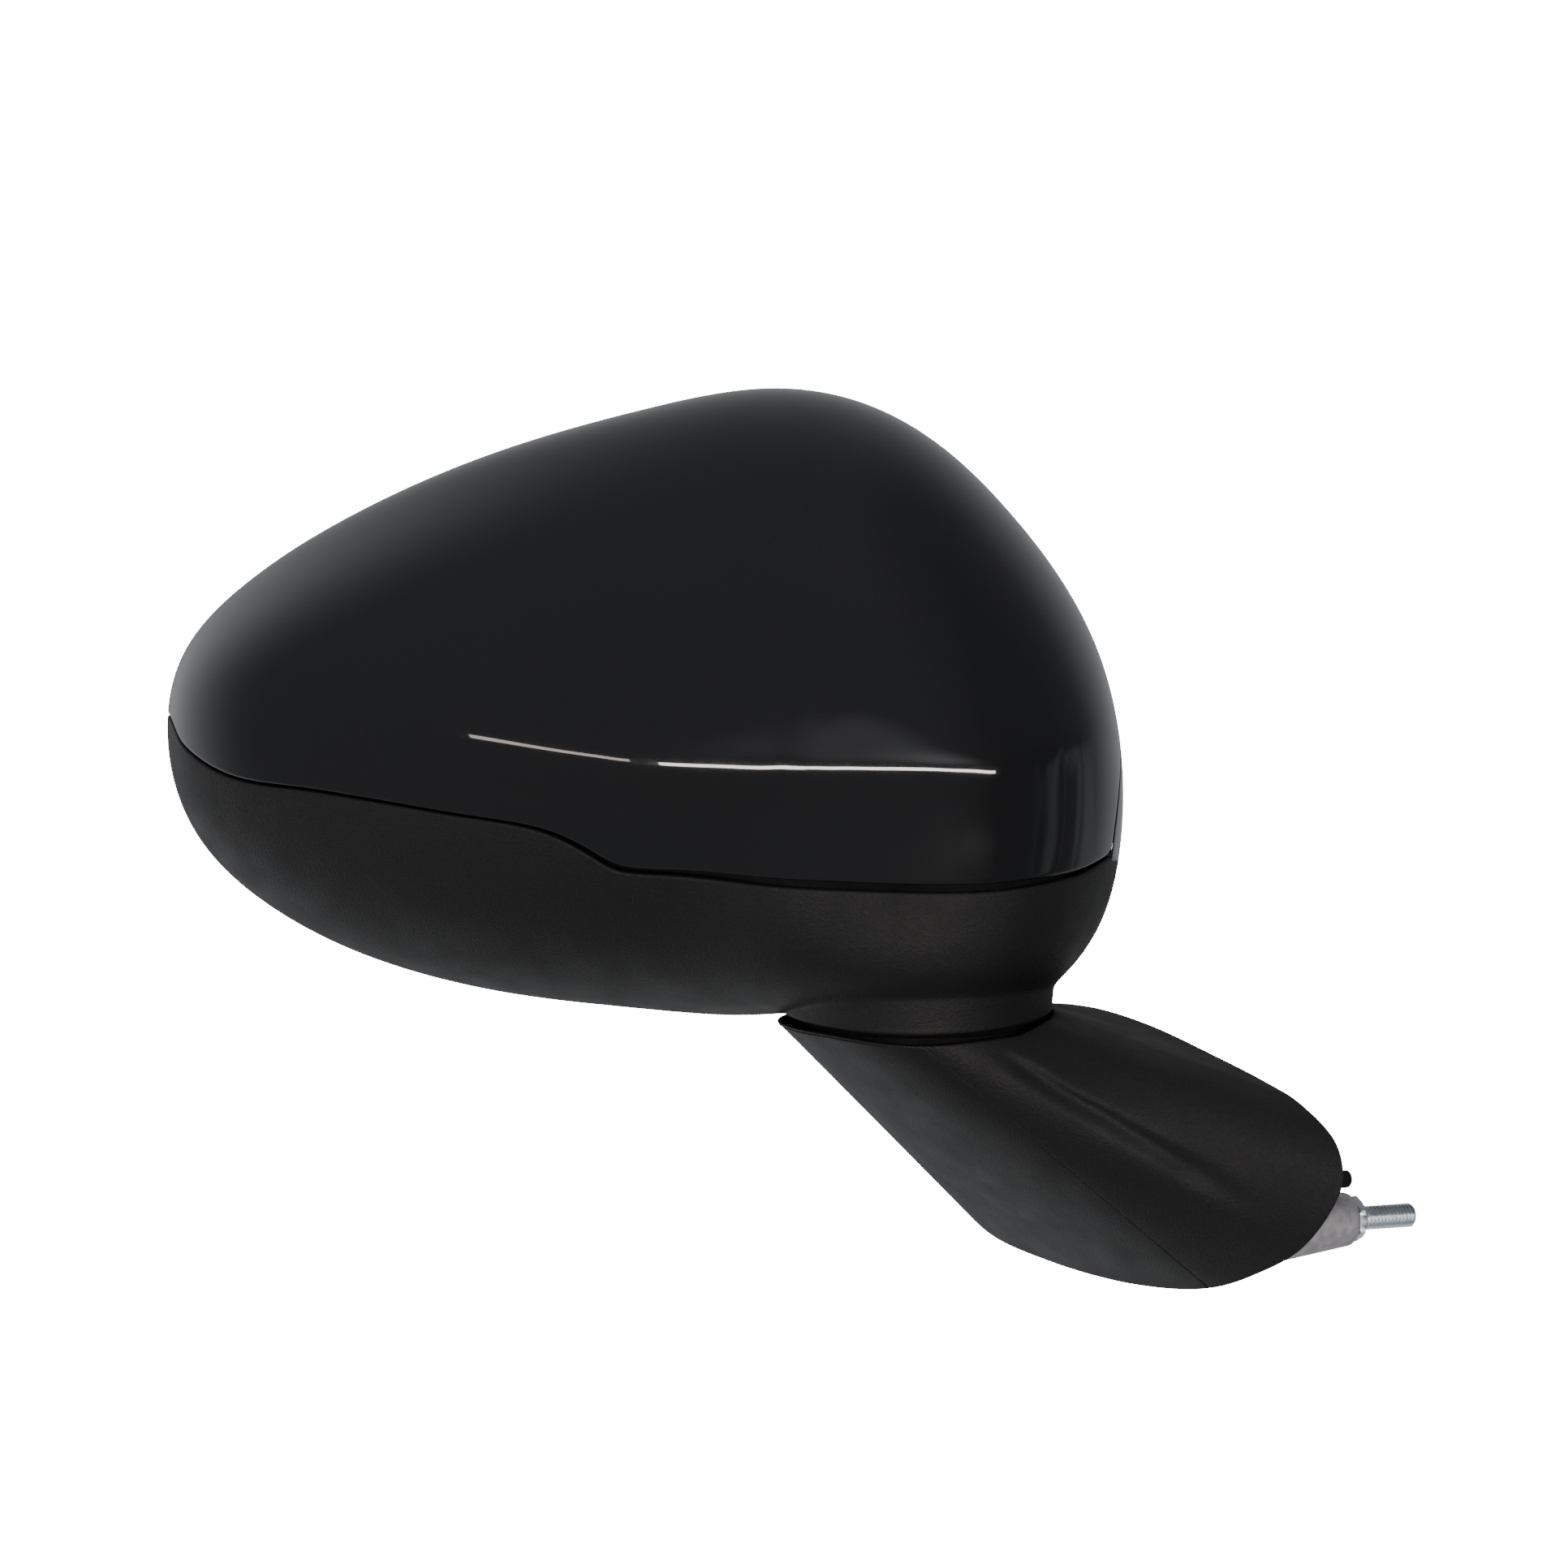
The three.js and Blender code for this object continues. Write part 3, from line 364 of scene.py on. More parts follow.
def from_flat(flat):
    """Points of the plain dome for places of the flat head."""
    angle = np.arctan2(flat[..., 1], flat[..., 0])
    radius = outline_radius(angle)
    spread = np.hypot(flat[..., 0], flat[..., 1]) / radius
    share = np.sin(np.clip(spread, 0, 1) * math.pi / 2)
    ahead = np.sqrt(np.clip(1 - share ** dome_power(angle), 0, 1))
    y = np.where(spread < 1, WIDEST_Y - DOME_DEPTH * ahead, WIDEST_Y + (spread - 1) * DOME_DEPTH)
    reach = radius * share * band_shrink(y)
    return np.stack([DOME_CENTRE[0] + reach * np.cos(angle), y, DOME_CENTRE[1] + reach * np.sin(angle)], -1)


def seam_front(rise):
    """The parting line across the front, as flat places, moved up by rise(x)."""
    line = along(seam_curve, np.linspace(0, 1, 500))
    line = line + np.stack([np.zeros(len(line)), rise(line[:, 0])], -1)
    offset = line - DOME_CENTRE
    angle = np.arctan2(offset[:, 1], offset[:, 0])
    inside = np.hypot(*offset.T) < outline_radius(angle) * 0.9995
    return flat_from_front(line[inside])


def meridian(angle, y_from, y_to, count=24):
    y = np.linspace(y_from, y_to, count)
    angles = np.full(count, angle)
    return flat_place(angles, spread_at(angles, y))


def even_loop(pieces, count, rounding):
    """A closed loop through the pieces with evenly spaced points and slightly rounded corners."""
    loop = np.vstack(pieces + [pieces[0][:1]])
    keep = np.concatenate([[True], np.linalg.norm(np.diff(loop, axis=0), axis=1) > 1e-6])
    even = along(loop[keep], np.arange(count) / count)
    for _ in range(rounding):
        even = (np.roll(even, 1, 0) + 2 * even + np.roll(even, -1, 0)) / 4
    return even


def shut_depth(angle):
    """Y of the cap's rear edge: the rim, but well forward low on the inboard side."""
    share = np.clip((np.degrees(angle) - SHUT_LINE["start"]) / (SHUT_LINE["end"] - SHUT_LINE["start"]), 0, 1)
    return SHUT_LINE["foremost"] + (RIM_Y - SHUT_LINE["foremost"]) * share**2


# ------------------------------------------------------------------ meshes


def grid_faces(rows, columns, wrap, start=0, flip=False):
    """Quads between rows of points. wrap joins the last column to the first."""
    index = start + np.arange(rows * columns).reshape(rows, columns)
    if wrap:
        index = np.hstack([index, index[:, :1]])
    quads = np.stack([index[:-1, :-1], index[:-1, 1:], index[1:, 1:], index[1:, :-1]], -1).reshape(-1, 4)
    return (quads[:, ::-1] if flip else quads).tolist()


def loop_faces(rows, columns):
    """Quads of a ring-shaped surface: the last row joins the first and every row is closed."""
    last = (rows - 1) * columns
    joined = [(last + i, last + (i + 1) % columns, (i + 1) % columns, i) for i in range(columns)]
    return grid_faces(rows, columns, True) + joined


def fan(ring, hub):
    return [(hub, ring[i], ring[(i + 1) % len(ring)]) for i in range(len(ring))]


def piece(name, points, faces, slot, body, stands_for=(), sharp=32):
    """A named mesh with its material, riding on a body."""
    mesh = bpy.data.meshes.new(name)
    mesh.from_pydata(to_row(points).tolist(), [], [tuple(face) for face in faces])
    work = bmesh.new()
    work.from_mesh(mesh)
    bmesh.ops.recalc_face_normals(work, faces=work.faces)
    work.to_mesh(mesh)
    work.free()
    mesh.shade_smooth()
    mesh.set_sharp_from_angle(angle=math.radians(sharp))
    mesh.materials.append(MATERIALS[slot])
    made = bpy.data.objects.new(name, mesh)
    bpy.context.scene.collection.objects.link(made)
    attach(made, body)
    if stands_for:
        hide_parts(*stands_for)
    return made


def roll_border(flat, depth, normals, radius, wrap, steps=5):
    """Carries a patch past its last row and down through a quarter circle."""
    edge, normal = flat[-1], normals[-1]
    if wrap:
        tangent = np.roll(edge, -1, 0) - np.roll(edge, 1, 0)
    else:
        tangent = np.gradient(edge, axis=0)
    out = unit(np.cross(tangent, normal))
    out = out * np.sign(dot(out, edge - flat[-2]))
    angles = np.linspace(0, math.pi / 2, steps + 1)[1:]
    flat = np.concatenate([flat, [edge + out * radius * math.sin(a) for a in angles]])
    depth = np.concatenate([depth, [depth[-1] + radius * (1 - math.cos(a)) for a in angles]])
    normals = np.concatenate([normals, [normal] * steps])
    return flat, depth, normals


def shell(points, normals, wall, radius, wrap=True, pole=None, coarse=6):
    """Closed skin of even thickness under a patch of points, with rolled edges.

    The patch has rows and columns. wrap closes each row on itself. pole is the centre (point, normal) of a
    patch whose first row closes round it.
    """
    flat, depth = points, np.zeros(points.shape[:2] + (1,))
    if not wrap:
        for turn in (False, True):
            flat, depth, normals = (a.swapaxes(0, 1)[:: -1 if turn else 1] for a in (flat, depth, normals))
            flat, depth, normals = roll_border(flat, depth, normals, radius, False)
            flat, depth, normals = (a[:: -1 if turn else 1].swapaxes(0, 1) for a in (flat, depth, normals))
    flat, depth, normals = roll_border(flat, depth, normals, radius, wrap)
    if pole is None:
        rolled = roll_border(flat[::-1], depth[::-1], normals[::-1], radius, wrap)
        flat, depth, normals = (rows[::-1] for rows in rolled)
    outer = flat - normals * depth
    inner = flat - normals * wall
    if wrap:
        kept = sorted(set(range(0, len(inner), coarse)) | {0, len(inner) - 1})
        inner = inner[kept]
    rows, columns = outer.shape[:2]
    start = rows * columns
    faces = grid_faces(rows, columns, wrap)
    faces += grid_faces(len(inner), columns, wrap, start, flip=True)
    vertices = np.vstack([outer.reshape(-1, 3), inner.reshape(-1, 3)])
    ring = lambda row, base: [base + row * columns + i for i in range(columns)]
    if wrap:
        ends = [(ring(rows - 1, 0), ring(len(inner) - 1, start))]
        if pole is None:
            ends.append((ring(0, start), ring(0, 0)))
        else:
            hub = len(vertices)
            centre = np.array([pole[0], pole[0] - pole[1] * wall])
            vertices = np.vstack([vertices, centre])
            faces += fan(ring(0, 0), hub) + fan(ring(0, start)[::-1], hub + 1)
        for a, b in ends:
            faces += [(a[i], a[(i + 1) % columns], b[(i + 1) % columns], b[i]) for i in range(columns)]
    else:
        index = np.arange(start).reshape(rows, columns)
        border = np.concatenate([index[0, :-1], index[:-1, -1], index[-1, :0:-1], index[:0:-1, 0]]).tolist()
        count = len(border)
        for i, a in enumerate(border):
            b = border[(i + 1) % count]
            faces.append((a, b, b + start, a + start))
    return vertices, faces


def turned(profile, foot, axis, segments=48):
    """Turned piece: (radius, distance along the axis) pairs, closed at both ends."""
    axis = np.asarray(axis, float)
    side = unit(np.cross(axis, [0.3, 0.5, 0.8]))
    other = np.cross(axis, side)
    angles = np.arange(segments) / segments * 2 * math.pi
    around = np.cos(angles)[:, None] * side + np.sin(angles)[:, None] * other
    rows = np.array([foot + axis * place + around * radius for radius, place in profile])
    faces = grid_faces(len(profile), segments, True)
    hub = len(profile) * segments
    faces += fan(list(range(segments)), hub)
    faces += fan(list(range(hub - segments, hub))[::-1], hub + 1)
    ends = [foot + axis * profile[0][1], foot + axis * profile[-1][1]]
    return np.vstack([rows.reshape(-1, 3), ends]), faces


# ------------------------------------------------------------------ materials


class Nodes:
    """Small helper that adds and joins shader nodes."""

    def __init__(self, tree):
        self.tree = tree
        tree.nodes.clear()

    def add(self, kind, inputs=None, **settings):
        node = self.tree.nodes.new(kind)
        for key, value in settings.items():
            setattr(node, key, value)
        for key, value in (inputs or {}).items():
            if isinstance(value, bpy.types.NodeSocket):
                self.tree.links.new(value, node.inputs[key])
            else:
                node.inputs[key].default_value = value
        return node

    def blend(self, factor, dark, light):
        """Colour between two tones."""
        mix = self.add("ShaderNodeMix", {"Factor": factor}, data_type="RGBA")
        tones = [socket for socket in mix.inputs if socket.type == "RGBA"]
        tones[0].default_value = (*dark, 1)
        tones[1].default_value = (*light, 1)
        return next(socket for socket in mix.outputs if socket.type == "RGBA")


def finish_material(name, look):
    """Moulded, cast or plated finish: mottled colour, uneven roughness and a fine surface grain."""
    material = bpy.data.materials.new(name)
    material.use_nodes = True
    nodes = Nodes(material.node_tree)
    place = nodes.add("ShaderNodeTexCoord").outputs["Object"]
    noise = lambda scale, detail: nodes.add(
        "ShaderNodeTexNoise", {"Vector": place, "Scale": scale, "Detail": detail}
    ).outputs["Fac"]
    mottle = noise(look.get("mottle_scale", 60), 5)
    dark, light = look["colours"]
    colour = nodes.blend(mottle, dark, light)
    rough_low, rough_high = look["roughness"]
    roughness = nodes.add("ShaderNodeMapRange", {
        "Value": noise(look.get("smear_scale", 90), 4), "From Min": 0.3, "From Max": 0.7,
        "To Min": rough_low, "To Max": rough_high,
    })
    grain = noise(look["grain_scale"], look.get("grain_detail", 2))
    if look.get("cells"):
        cells = nodes.add("ShaderNodeTexVoronoi", {"Vector": place, "Scale": look["cells"]})
        both = nodes.add("ShaderNodeMath", {0: grain, 1: cells.outputs["Distance"]}, operation="ADD")
        grain = both.outputs[0]
    bump = nodes.add("ShaderNodeBump", {
        "Height": grain, "Strength": look["grain"], "Distance": look.get("grain_depth", 0.0001),
    })
    shader = nodes.add("ShaderNodeBsdfPrincipled", {
        "Base Color": colour, "Roughness": roughness.outputs["Result"],
        "Metallic": look.get("metallic", 0.0), "Normal": bump.outputs["Normal"],
        "Coat Weight": look.get("coat", 0.0), "Coat Roughness": look.get("coat_roughness", 0.03),
        "Coat IOR": look.get("coat_ior", 1.5),
        "IOR": look.get("ior", 1.5), "Specular IOR Level": look.get("specular", 0.5),
    })
    nodes.add("ShaderNodeOutputMaterial", {"Surface": shader.outputs["BSDF"]})
    return material


LOOKS = {
    "gloss_paint": dict(
        colours=((0.0120, 0.0124, 0.0142), (0.0132, 0.0137, 0.0156)), roughness=(0.10, 0.14), grain_scale=900,
        grain=0.03, grain_depth=0.00002, coat=1.0, coat_roughness=0.02, coat_ior=1.72, specular=0.1,
        mottle_scale=25,
    ),
    "textured_cover": dict(
        colours=((0.016, 0.016, 0.017), (0.023, 0.023, 0.024)), roughness=(0.50, 0.62), grain_scale=2600,
        grain=0.55, grain_depth=0.00016, cells=1900, mottle_scale=1500,
    ),
    "bezel_black": dict(
        colours=((0.011, 0.011, 0.012), (0.015, 0.015, 0.016)), roughness=(0.30, 0.42), grain_scale=3000,
        grain=0.2, grain_depth=0.00008, mottle_scale=300,
    ),
    "frame_nylon": dict(
        colours=((0.020, 0.021, 0.024), (0.045, 0.047, 0.052)), roughness=(0.35, 0.6), grain_scale=700,
        grain=0.3, grain_depth=0.0001, mottle_scale=220,
    ),
    "white_acetal": dict(
        colours=((0.66, 0.64, 0.57), (0.76, 0.74, 0.68)), roughness=(0.3, 0.45), grain_scale=900,
        grain=0.1, mottle_scale=120,
    ),
    "cast_zinc": dict(
        colours=((0.22, 0.21, 0.22), (0.62, 0.60, 0.62)), roughness=(0.42, 0.66), grain_scale=1100,
        grain=0.55, grain_depth=0.0002, grain_detail=5, metallic=0.4, mottle_scale=520,
    ),
    "plated_steel": dict(
        colours=((0.72, 0.79, 0.84), (0.88, 0.93, 0.97)), roughness=(0.28, 0.42), grain_scale=2200,
        grain=0.12, grain_depth=0.00005, metallic=1.0, mottle_scale=380,
    ),
    "bare_steel": dict(
        colours=((0.36, 0.37, 0.39), (0.5, 0.51, 0.53)), roughness=(0.25, 0.42), grain_scale=1800,
        grain=0.15, grain_depth=0.00006, metallic=1.0, mottle_scale=260,
    ),
    "brass": dict(
        colours=((0.5, 0.34, 0.12), (0.66, 0.47, 0.2)), roughness=(0.22, 0.38), grain_scale=1500,
        grain=0.15, grain_depth=0.00006, metallic=1.0, mottle_scale=200,
    ),
    "mirror_silver": dict(
        colours=((0.80, 0.83, 0.86), (0.83, 0.86, 0.88)), roughness=(0.012, 0.02), grain_scale=40,
        grain=0.004, grain_depth=0.00001, metallic=1.0, mottle_scale=15,
    ),
    "gasket_foam": dict(
        colours=((0.009, 0.009, 0.009), (0.022, 0.022, 0.022)), roughness=(0.85, 0.98), grain_scale=1400,
        grain=0.9, grain_depth=0.0004, cells=1100, mottle_scale=900,
    ),
    "black_rubber": dict(
        colours=((0.008, 0.008, 0.008), (0.014, 0.014, 0.014)), roughness=(0.75, 0.92), grain_scale=1600,
        grain=0.25, grain_depth=0.0001, mottle_scale=200,
    ),
    "heater_film": dict(
        colours=((0.03, 0.03, 0.03), (0.06, 0.06, 0.06)), roughness=(0.3, 0.5), grain_scale=500,
        grain=0.1, mottle_scale=150,
    ),
}
MATERIALS = {name: finish_material(name, look) for name, look in LOOKS.items()}


# ------------------------------------------------------------------ head pieces


def cap():
    """The painted skull cap above the parting line."""
    count, rows = 420, 96
    right = math.radians(SHUT_LINE["start"])
    front = seam_front(lambda x: 0.4 + 0.7 + 0 * x)
    front_angle = np.arctan2(front[:, 1], front[:, 0])
    front = front[(front_angle < -math.pi / 2) | (front_angle > math.pi / 2) | (front_angle < right)]
    left = math.atan2(front[0, 1], front[0, 0])
    rear_angles = np.linspace(right, left, 400)
    rear_y = np.minimum(shut_depth(rear_angles) - 1.1, RIM_Y - 1.0)
    rear = flat_place(rear_angles, spread_at(rear_angles, rear_y))
    side = meridian(left, RIM_Y - 1.0, WIDEST_Y)
    border = even_loop([front, rear, side], count, rounding=3)
    centre = np.array([-30.0, 22.0])
    share = np.linspace(0, 1, rows + 1)[1:, None, None]
    points = from_flat(centre + share * (border - centre))
    inside = np.array([-45.0, 24.0, 80.0])
    deep = lambda target: inside + (target - inside) * (0.6, 0, 0.6)
    points = cast(deep(points), points)
    middle = from_flat(centre[None])
    middle = cast(deep(middle), middle)[0]
    hub = (middle, head_normals(middle[None])[0])
    skin = shell(points, head_normals(points), WALL, 0.7, pole=hub)
    return piece("skull_cap_skin", *skin, "gloss_paint", "head", ["skull_cap"])


def cap_skirt():
    """Gloss strip of the bezel behind the cap's forward edge, past a thin shut line."""
    columns, rows = 90, 26
    angles = np.radians(np.linspace(SHUT_LINE["start"] - 1.2, SHUT_LINE["end"] - 3, columns))
    front = shut_depth(angles) + 0.9
    grid = []
    for share in np.linspace(0, 1, rows):
        y = front + (RIM_Y - 0.9 - front) * share
        grid.append(from_flat(flat_place(angles, spread_at(angles, y))))
    points = cast(np.array([-20.0, 24.0, 70.0]), np.array(grid))
    skin = shell(points, head_normals(points), WALL, 0.5, wrap=False)
    return piece("bezel_skirt", *skin, "gloss_paint", "head")


def cover():
    """The textured lower cover with the swivel boss flowing out of it."""
    count, rows = 460, 130
    lower = lambda x: 0.4 - table(SEAM_GROOVE, x) - 0.7
    front = seam_front(lower)
    left = math.atan2(front[0, 1], front[0, 0])
    right = math.atan2(front[-1, 1], front[-1, 0])
    rim = np.linspace(right, left - 2 * math.pi, 400)
    bottom = flat_place(rim, spread_at(rim, np.full(400, RIM_Y - 1.0)))
    sides = [meridian(right, WIDEST_Y, RIM_Y - 1.0), meridian(left, RIM_Y - 1.0, WIDEST_Y)]
    border = from_flat(even_loop([front, sides[0], bottom, sides[1]], count, rounding=3))
    around = np.arctan2(border[:, 1], border[:, 0])
    hole = np.stack([BOSS_HOLE * np.cos(around), BOSS_HOLE * np.sin(around), np.zeros(count)], -1)
    hole[:, 2] = boss_bottom(hole[:, 0], hole[:, 1])
    share = (np.linspace(0, 1, rows) ** 1.6)[:, None, None]
    inside = np.array([-15.0, 2.0, 40.0])
    points = cast(inside, hole + share * (border - hole), 0.2, 3.0)
    skin = shell(points, head_normals(points), WALL, 0.6)
    return piece("lower_cover_skin", *skin, "textured_cover", "head", ["lower_cover"])


def seam_tongue():
    """Lip of the lower cover that closes the groove from behind."""
    columns = 300
    grid = []
    for rise in np.linspace(-6, 5, 8):
        line = seam_front(lambda x: rise + 0 * x)
        grid.append(from_flat(along(line, np.linspace(0.0, 1.0, columns))))
    points = cast(np.array([-30.0, 22.0, 45.0]), np.array(grid))
    normals = head_normals(points)
    strip = shell(points - normals * 2.9, normals, 0.9, 0.3, wrap=False)
    return piece("cover_tongue", *strip, "black_rubber", "head")


def inset(outline, distance):
    """Moves each point of a closed X, Z outline inwards along its own normal."""
    along_edge = unit(np.roll(outline, -1, 0) - np.roll(outline, 1, 0))
    return outline + np.stack([-along_edge[:, 1], along_edge[:, 0]], -1) * distance


def head_ring(y, count=360):
    angles = np.arange(count) / count * 2 * math.pi
    radius = outline_radius(angles) * band_shrink(np.full(count, y))
    return np.array(DOME_CENTRE) + np.stack([radius * np.cos(angles), radius * np.sin(angles)], -1)


def glass_ring():
    return PIVOT[[0, 2]] + (head_ring(WIDEST_Y) - PIVOT[[0, 2]]) * GLASS_SCALE


def bezel():
    """Frame round the glass: a soft lip at the rim and a tunnel in front of it."""
    rim = head_ring(RIM_Y)
    tunnel = inset(glass_ring(), -TUNNEL_GAP)
    section = [(rim, 0, 0.3)]
    for a in np.linspace(0.2, math.pi / 2, 6):
        section.append((rim, 1.6 * (1 - math.cos(a)), 0.3 + 2.3 * math.sin(a)))
    section += [(tunnel, -4.5, 2.4), (tunnel, -2.6, 2.1)]
    for a in np.linspace(0.3, math.pi / 2, 6):
        section.append((tunnel, -1.6 * (1 - math.sin(a)), 0.4 + 1.5 * math.cos(a)))
    section += [(tunnel, 0, -6), (tunnel, 0, -16), (tunnel, 0, TUNNEL_FRONT - RIM_Y)]
    section += [(tunnel, -2, TUNNEL_FRONT - RIM_Y), (tunnel, -2, -1.6)]
    section += [(rim, WALL + 2.6, -1.6), (rim, WALL + 2.6, -8), (rim, WALL + 0.6, -8), (rim, WALL + 0.6, 0.3)]
    rows = []
    for outline, moved_in, rise in section:
        flat = inset(outline, moved_in)
        rows.append(np.stack([flat[:, 0], np.full(len(flat), RIM_Y + rise), flat[:, 1]], -1))
    points = np.array(rows)
    faces = loop_faces(*points.shape[:2])
    return piece("glass_bezel_frame", points.reshape(-1, 3), faces, "bezel_black", "head", ["glass_bezel"])


def glass():
    """Convex mirror with a ground edge."""
    outline = glass_ring()
    edge = 0.35
    section = [(0, GLASS_Y - GLASS_THICK), (0, GLASS_Y - edge)]
    for a in (0.4, 0.8, 1.2, math.pi / 2):
        section.append((edge * (1 - math.cos(a)), GLASS_Y - edge * (1 - math.sin(a))))
    rows = []
    for moved_in, y in section:
        rows.append(sagged(inset(outline, moved_in), y))
    for share in np.linspace(1, 0, 31)[1:-1]:
        rows.append(sagged(PIVOT[[0, 2]] + (inset(outline, edge) - PIVOT[[0, 2]]) * share, GLASS_Y))
    points = np.array(rows)
    columns = points.shape[1]
    faces = grid_faces(len(rows), columns, True)
    hub = len(rows) * columns
    faces += fan(list(range(hub - columns, hub)), hub)
    faces += fan(list(range(columns))[::-1], hub + 1)
    centres = [[PIVOT[0], GLASS_Y, PIVOT[2]], [PIVOT[0], GLASS_Y - GLASS_THICK, PIVOT[2]]]
    return piece("mirror_glass_pane", np.vstack([points.reshape(-1, 3), centres]), faces,
                 "mirror_silver", "glass", ["mirror_glass"])


def sagged(flat, y):
    """An X, Z outline laid on the mirror's sphere."""
    away = np.sum((flat - PIVOT[[0, 2]]) ** 2, 1)
    return np.stack([flat[:, 0], y - away / (2 * GLASS_SPHERE), flat[:, 1]], -1)


# ------------------------------------------------------------------ foot pieces

_tilt, _yaw = math.radians(DOOR_TILT), math.radians(DOOR_YAW)
DOOR_NORMAL = np.array([math.cos(_tilt) * math.cos(_yaw), math.cos(_tilt) * math.sin(_yaw), -math.sin(_tilt)])
DOOR_ALONG = np.array([-math.sin(_yaw), math.cos(_yaw), 0])
DOOR_UP = np.cross(DOOR_NORMAL, DOOR_ALONG)
STUD_AXIS = np.array([math.cos(math.radians(STUD_YAW)), math.sin(math.radians(STUD_YAW)), 0])
foot_rim = centripetal(FOOT_RIM, closed=True)


def on_door(along_up, out=0.0):
    along_up = np.asarray(along_up, float)
    return RIM_TIP + along_up[..., :1] * DOOR_ALONG + along_up[..., 1:] * DOOR_UP + out * DOOR_NORMAL


def seat_angle(u):
    turn = u * 2 * math.pi
    sway = SEAT_SWAY["once"] * np.sin(turn) + SEAT_SWAY["twice"] * np.sin(2 * turn)
    return SEAT_START - 360 * u + sway + SEAT_SWAY["twice_cosine"] * np.cos(2 * turn)


def seat_ring(u, radius, height):
    angle = np.radians(seat_angle(u))
    return np.stack([radius * np.cos(angle), radius * np.sin(angle), height], -1)


def foot_patch(u):
    """Rows of points from the low rim round the seat down the ruled sides to the door."""
    rim_height = smooth_table(SEAT_RIM, np.mod(seat_angle(u) + 180, 360) - 180)
    corner = seat_ring(u, SEAT_RADIUS, rim_height)
    door = on_door(along(foot_rim, np.mod(u, 1)))
    lip = seat_ring(u, SEAT_RADIUS - 0.5, rim_height)
    side = corner + unit(door - corner) * 0.9
    rows = [(1 - t) ** 2 * lip + 2 * t * (1 - t) * corner + t * t * side for t in np.linspace(0, 1, 8)]
    for t in np.linspace(0, 1, 81)[1:]:
        flute = FLUTE_DEPTH * smoothstep(0, 0.15, t) * (1 - smoothstep(0.55, 0.95, t))
        away = (np.mod(u - table(FLUTE, t) + 0.5, 1) - 0.5) / FLUTE_WIDTH
        sunk = flute * np.exp(-(away**2))[:, None] * FLUTE_SINKS
        rows.append(side + (door - side) * t - sunk)
    return np.array(rows)


def patch_normals(points, outwards):
    normal = unit(np.cross(np.gradient(points, axis=0), np.gradient(points, axis=1)))
    return normal * np.sign(np.mean(dot(normal, outwards)))


def foot_cover(name, node, start, end):
    margin = 0.0012
    u = np.linspace(start + margin, end - margin, int(420 * (end - start)))
    points = foot_patch(u)
    normals = patch_normals(points, points - np.array([30.0, 10.0, -45.0]))
    skin = shell(points, normals, FOOT_SKIN, 0.35, wrap=False)
    return piece(name, *skin, "textured_cover", "foot", [node])


def swivel_seal():
    """Black ring under the boss with a collar that stands inside it, and a black liner round it in the socket. The
    ring is partly the real seal and partly painted shade, and the liner is painted shade: both darken the gap
    between boss and foot and hide the metal behind it.
    """
    degrees = np.arange(120) * 3.0 - 180
    rim = smooth_table(SEAT_RIM, degrees)
    low = np.minimum(rim - 0.9, -3.5)
    inner, collar, outer, bulge, step, top = SEAL_AND_SHADE_RING.values()
    ring = [
        (inner, low), (outer, low), (bulge, low + 0.2), (bulge, step - 0.2), (outer, step),
        (collar, step), (collar, top - 0.2), (collar - 0.2, top), (inner + 0.2, top), (inner, top - 0.2),
    ]
    foot_side = smoothstep(-0.2, 0.5, np.cos(np.radians(degrees)))
    deep = rim - 0.4 - SHADE_LINER["deeper_at_foot"] * foot_side
    inner, outer = SHADE_LINER["inner"], SHADE_LINER["outer"]
    liner = [
        (inner, deep), (outer, deep), (outer, rim - 0.2),
        (outer - 0.1, rim - 0.1), (inner + 0.05, rim - 0.1), (inner, rim - 0.2),
    ]
    angles = np.radians(degrees)
    # Both rings are black rubber so that they paint the shade in the gap between boss and foot.
    for name, section in (("swivel_seal", ring), ("socket_liner", liner)):
        rows = [np.stack([r * np.cos(angles), r * np.sin(angles), z + 0 * angles], -1) for r, z in section]
        piece(name, np.vstack(rows), loop_faces(len(rows), len(degrees)), "black_rubber", "foot")


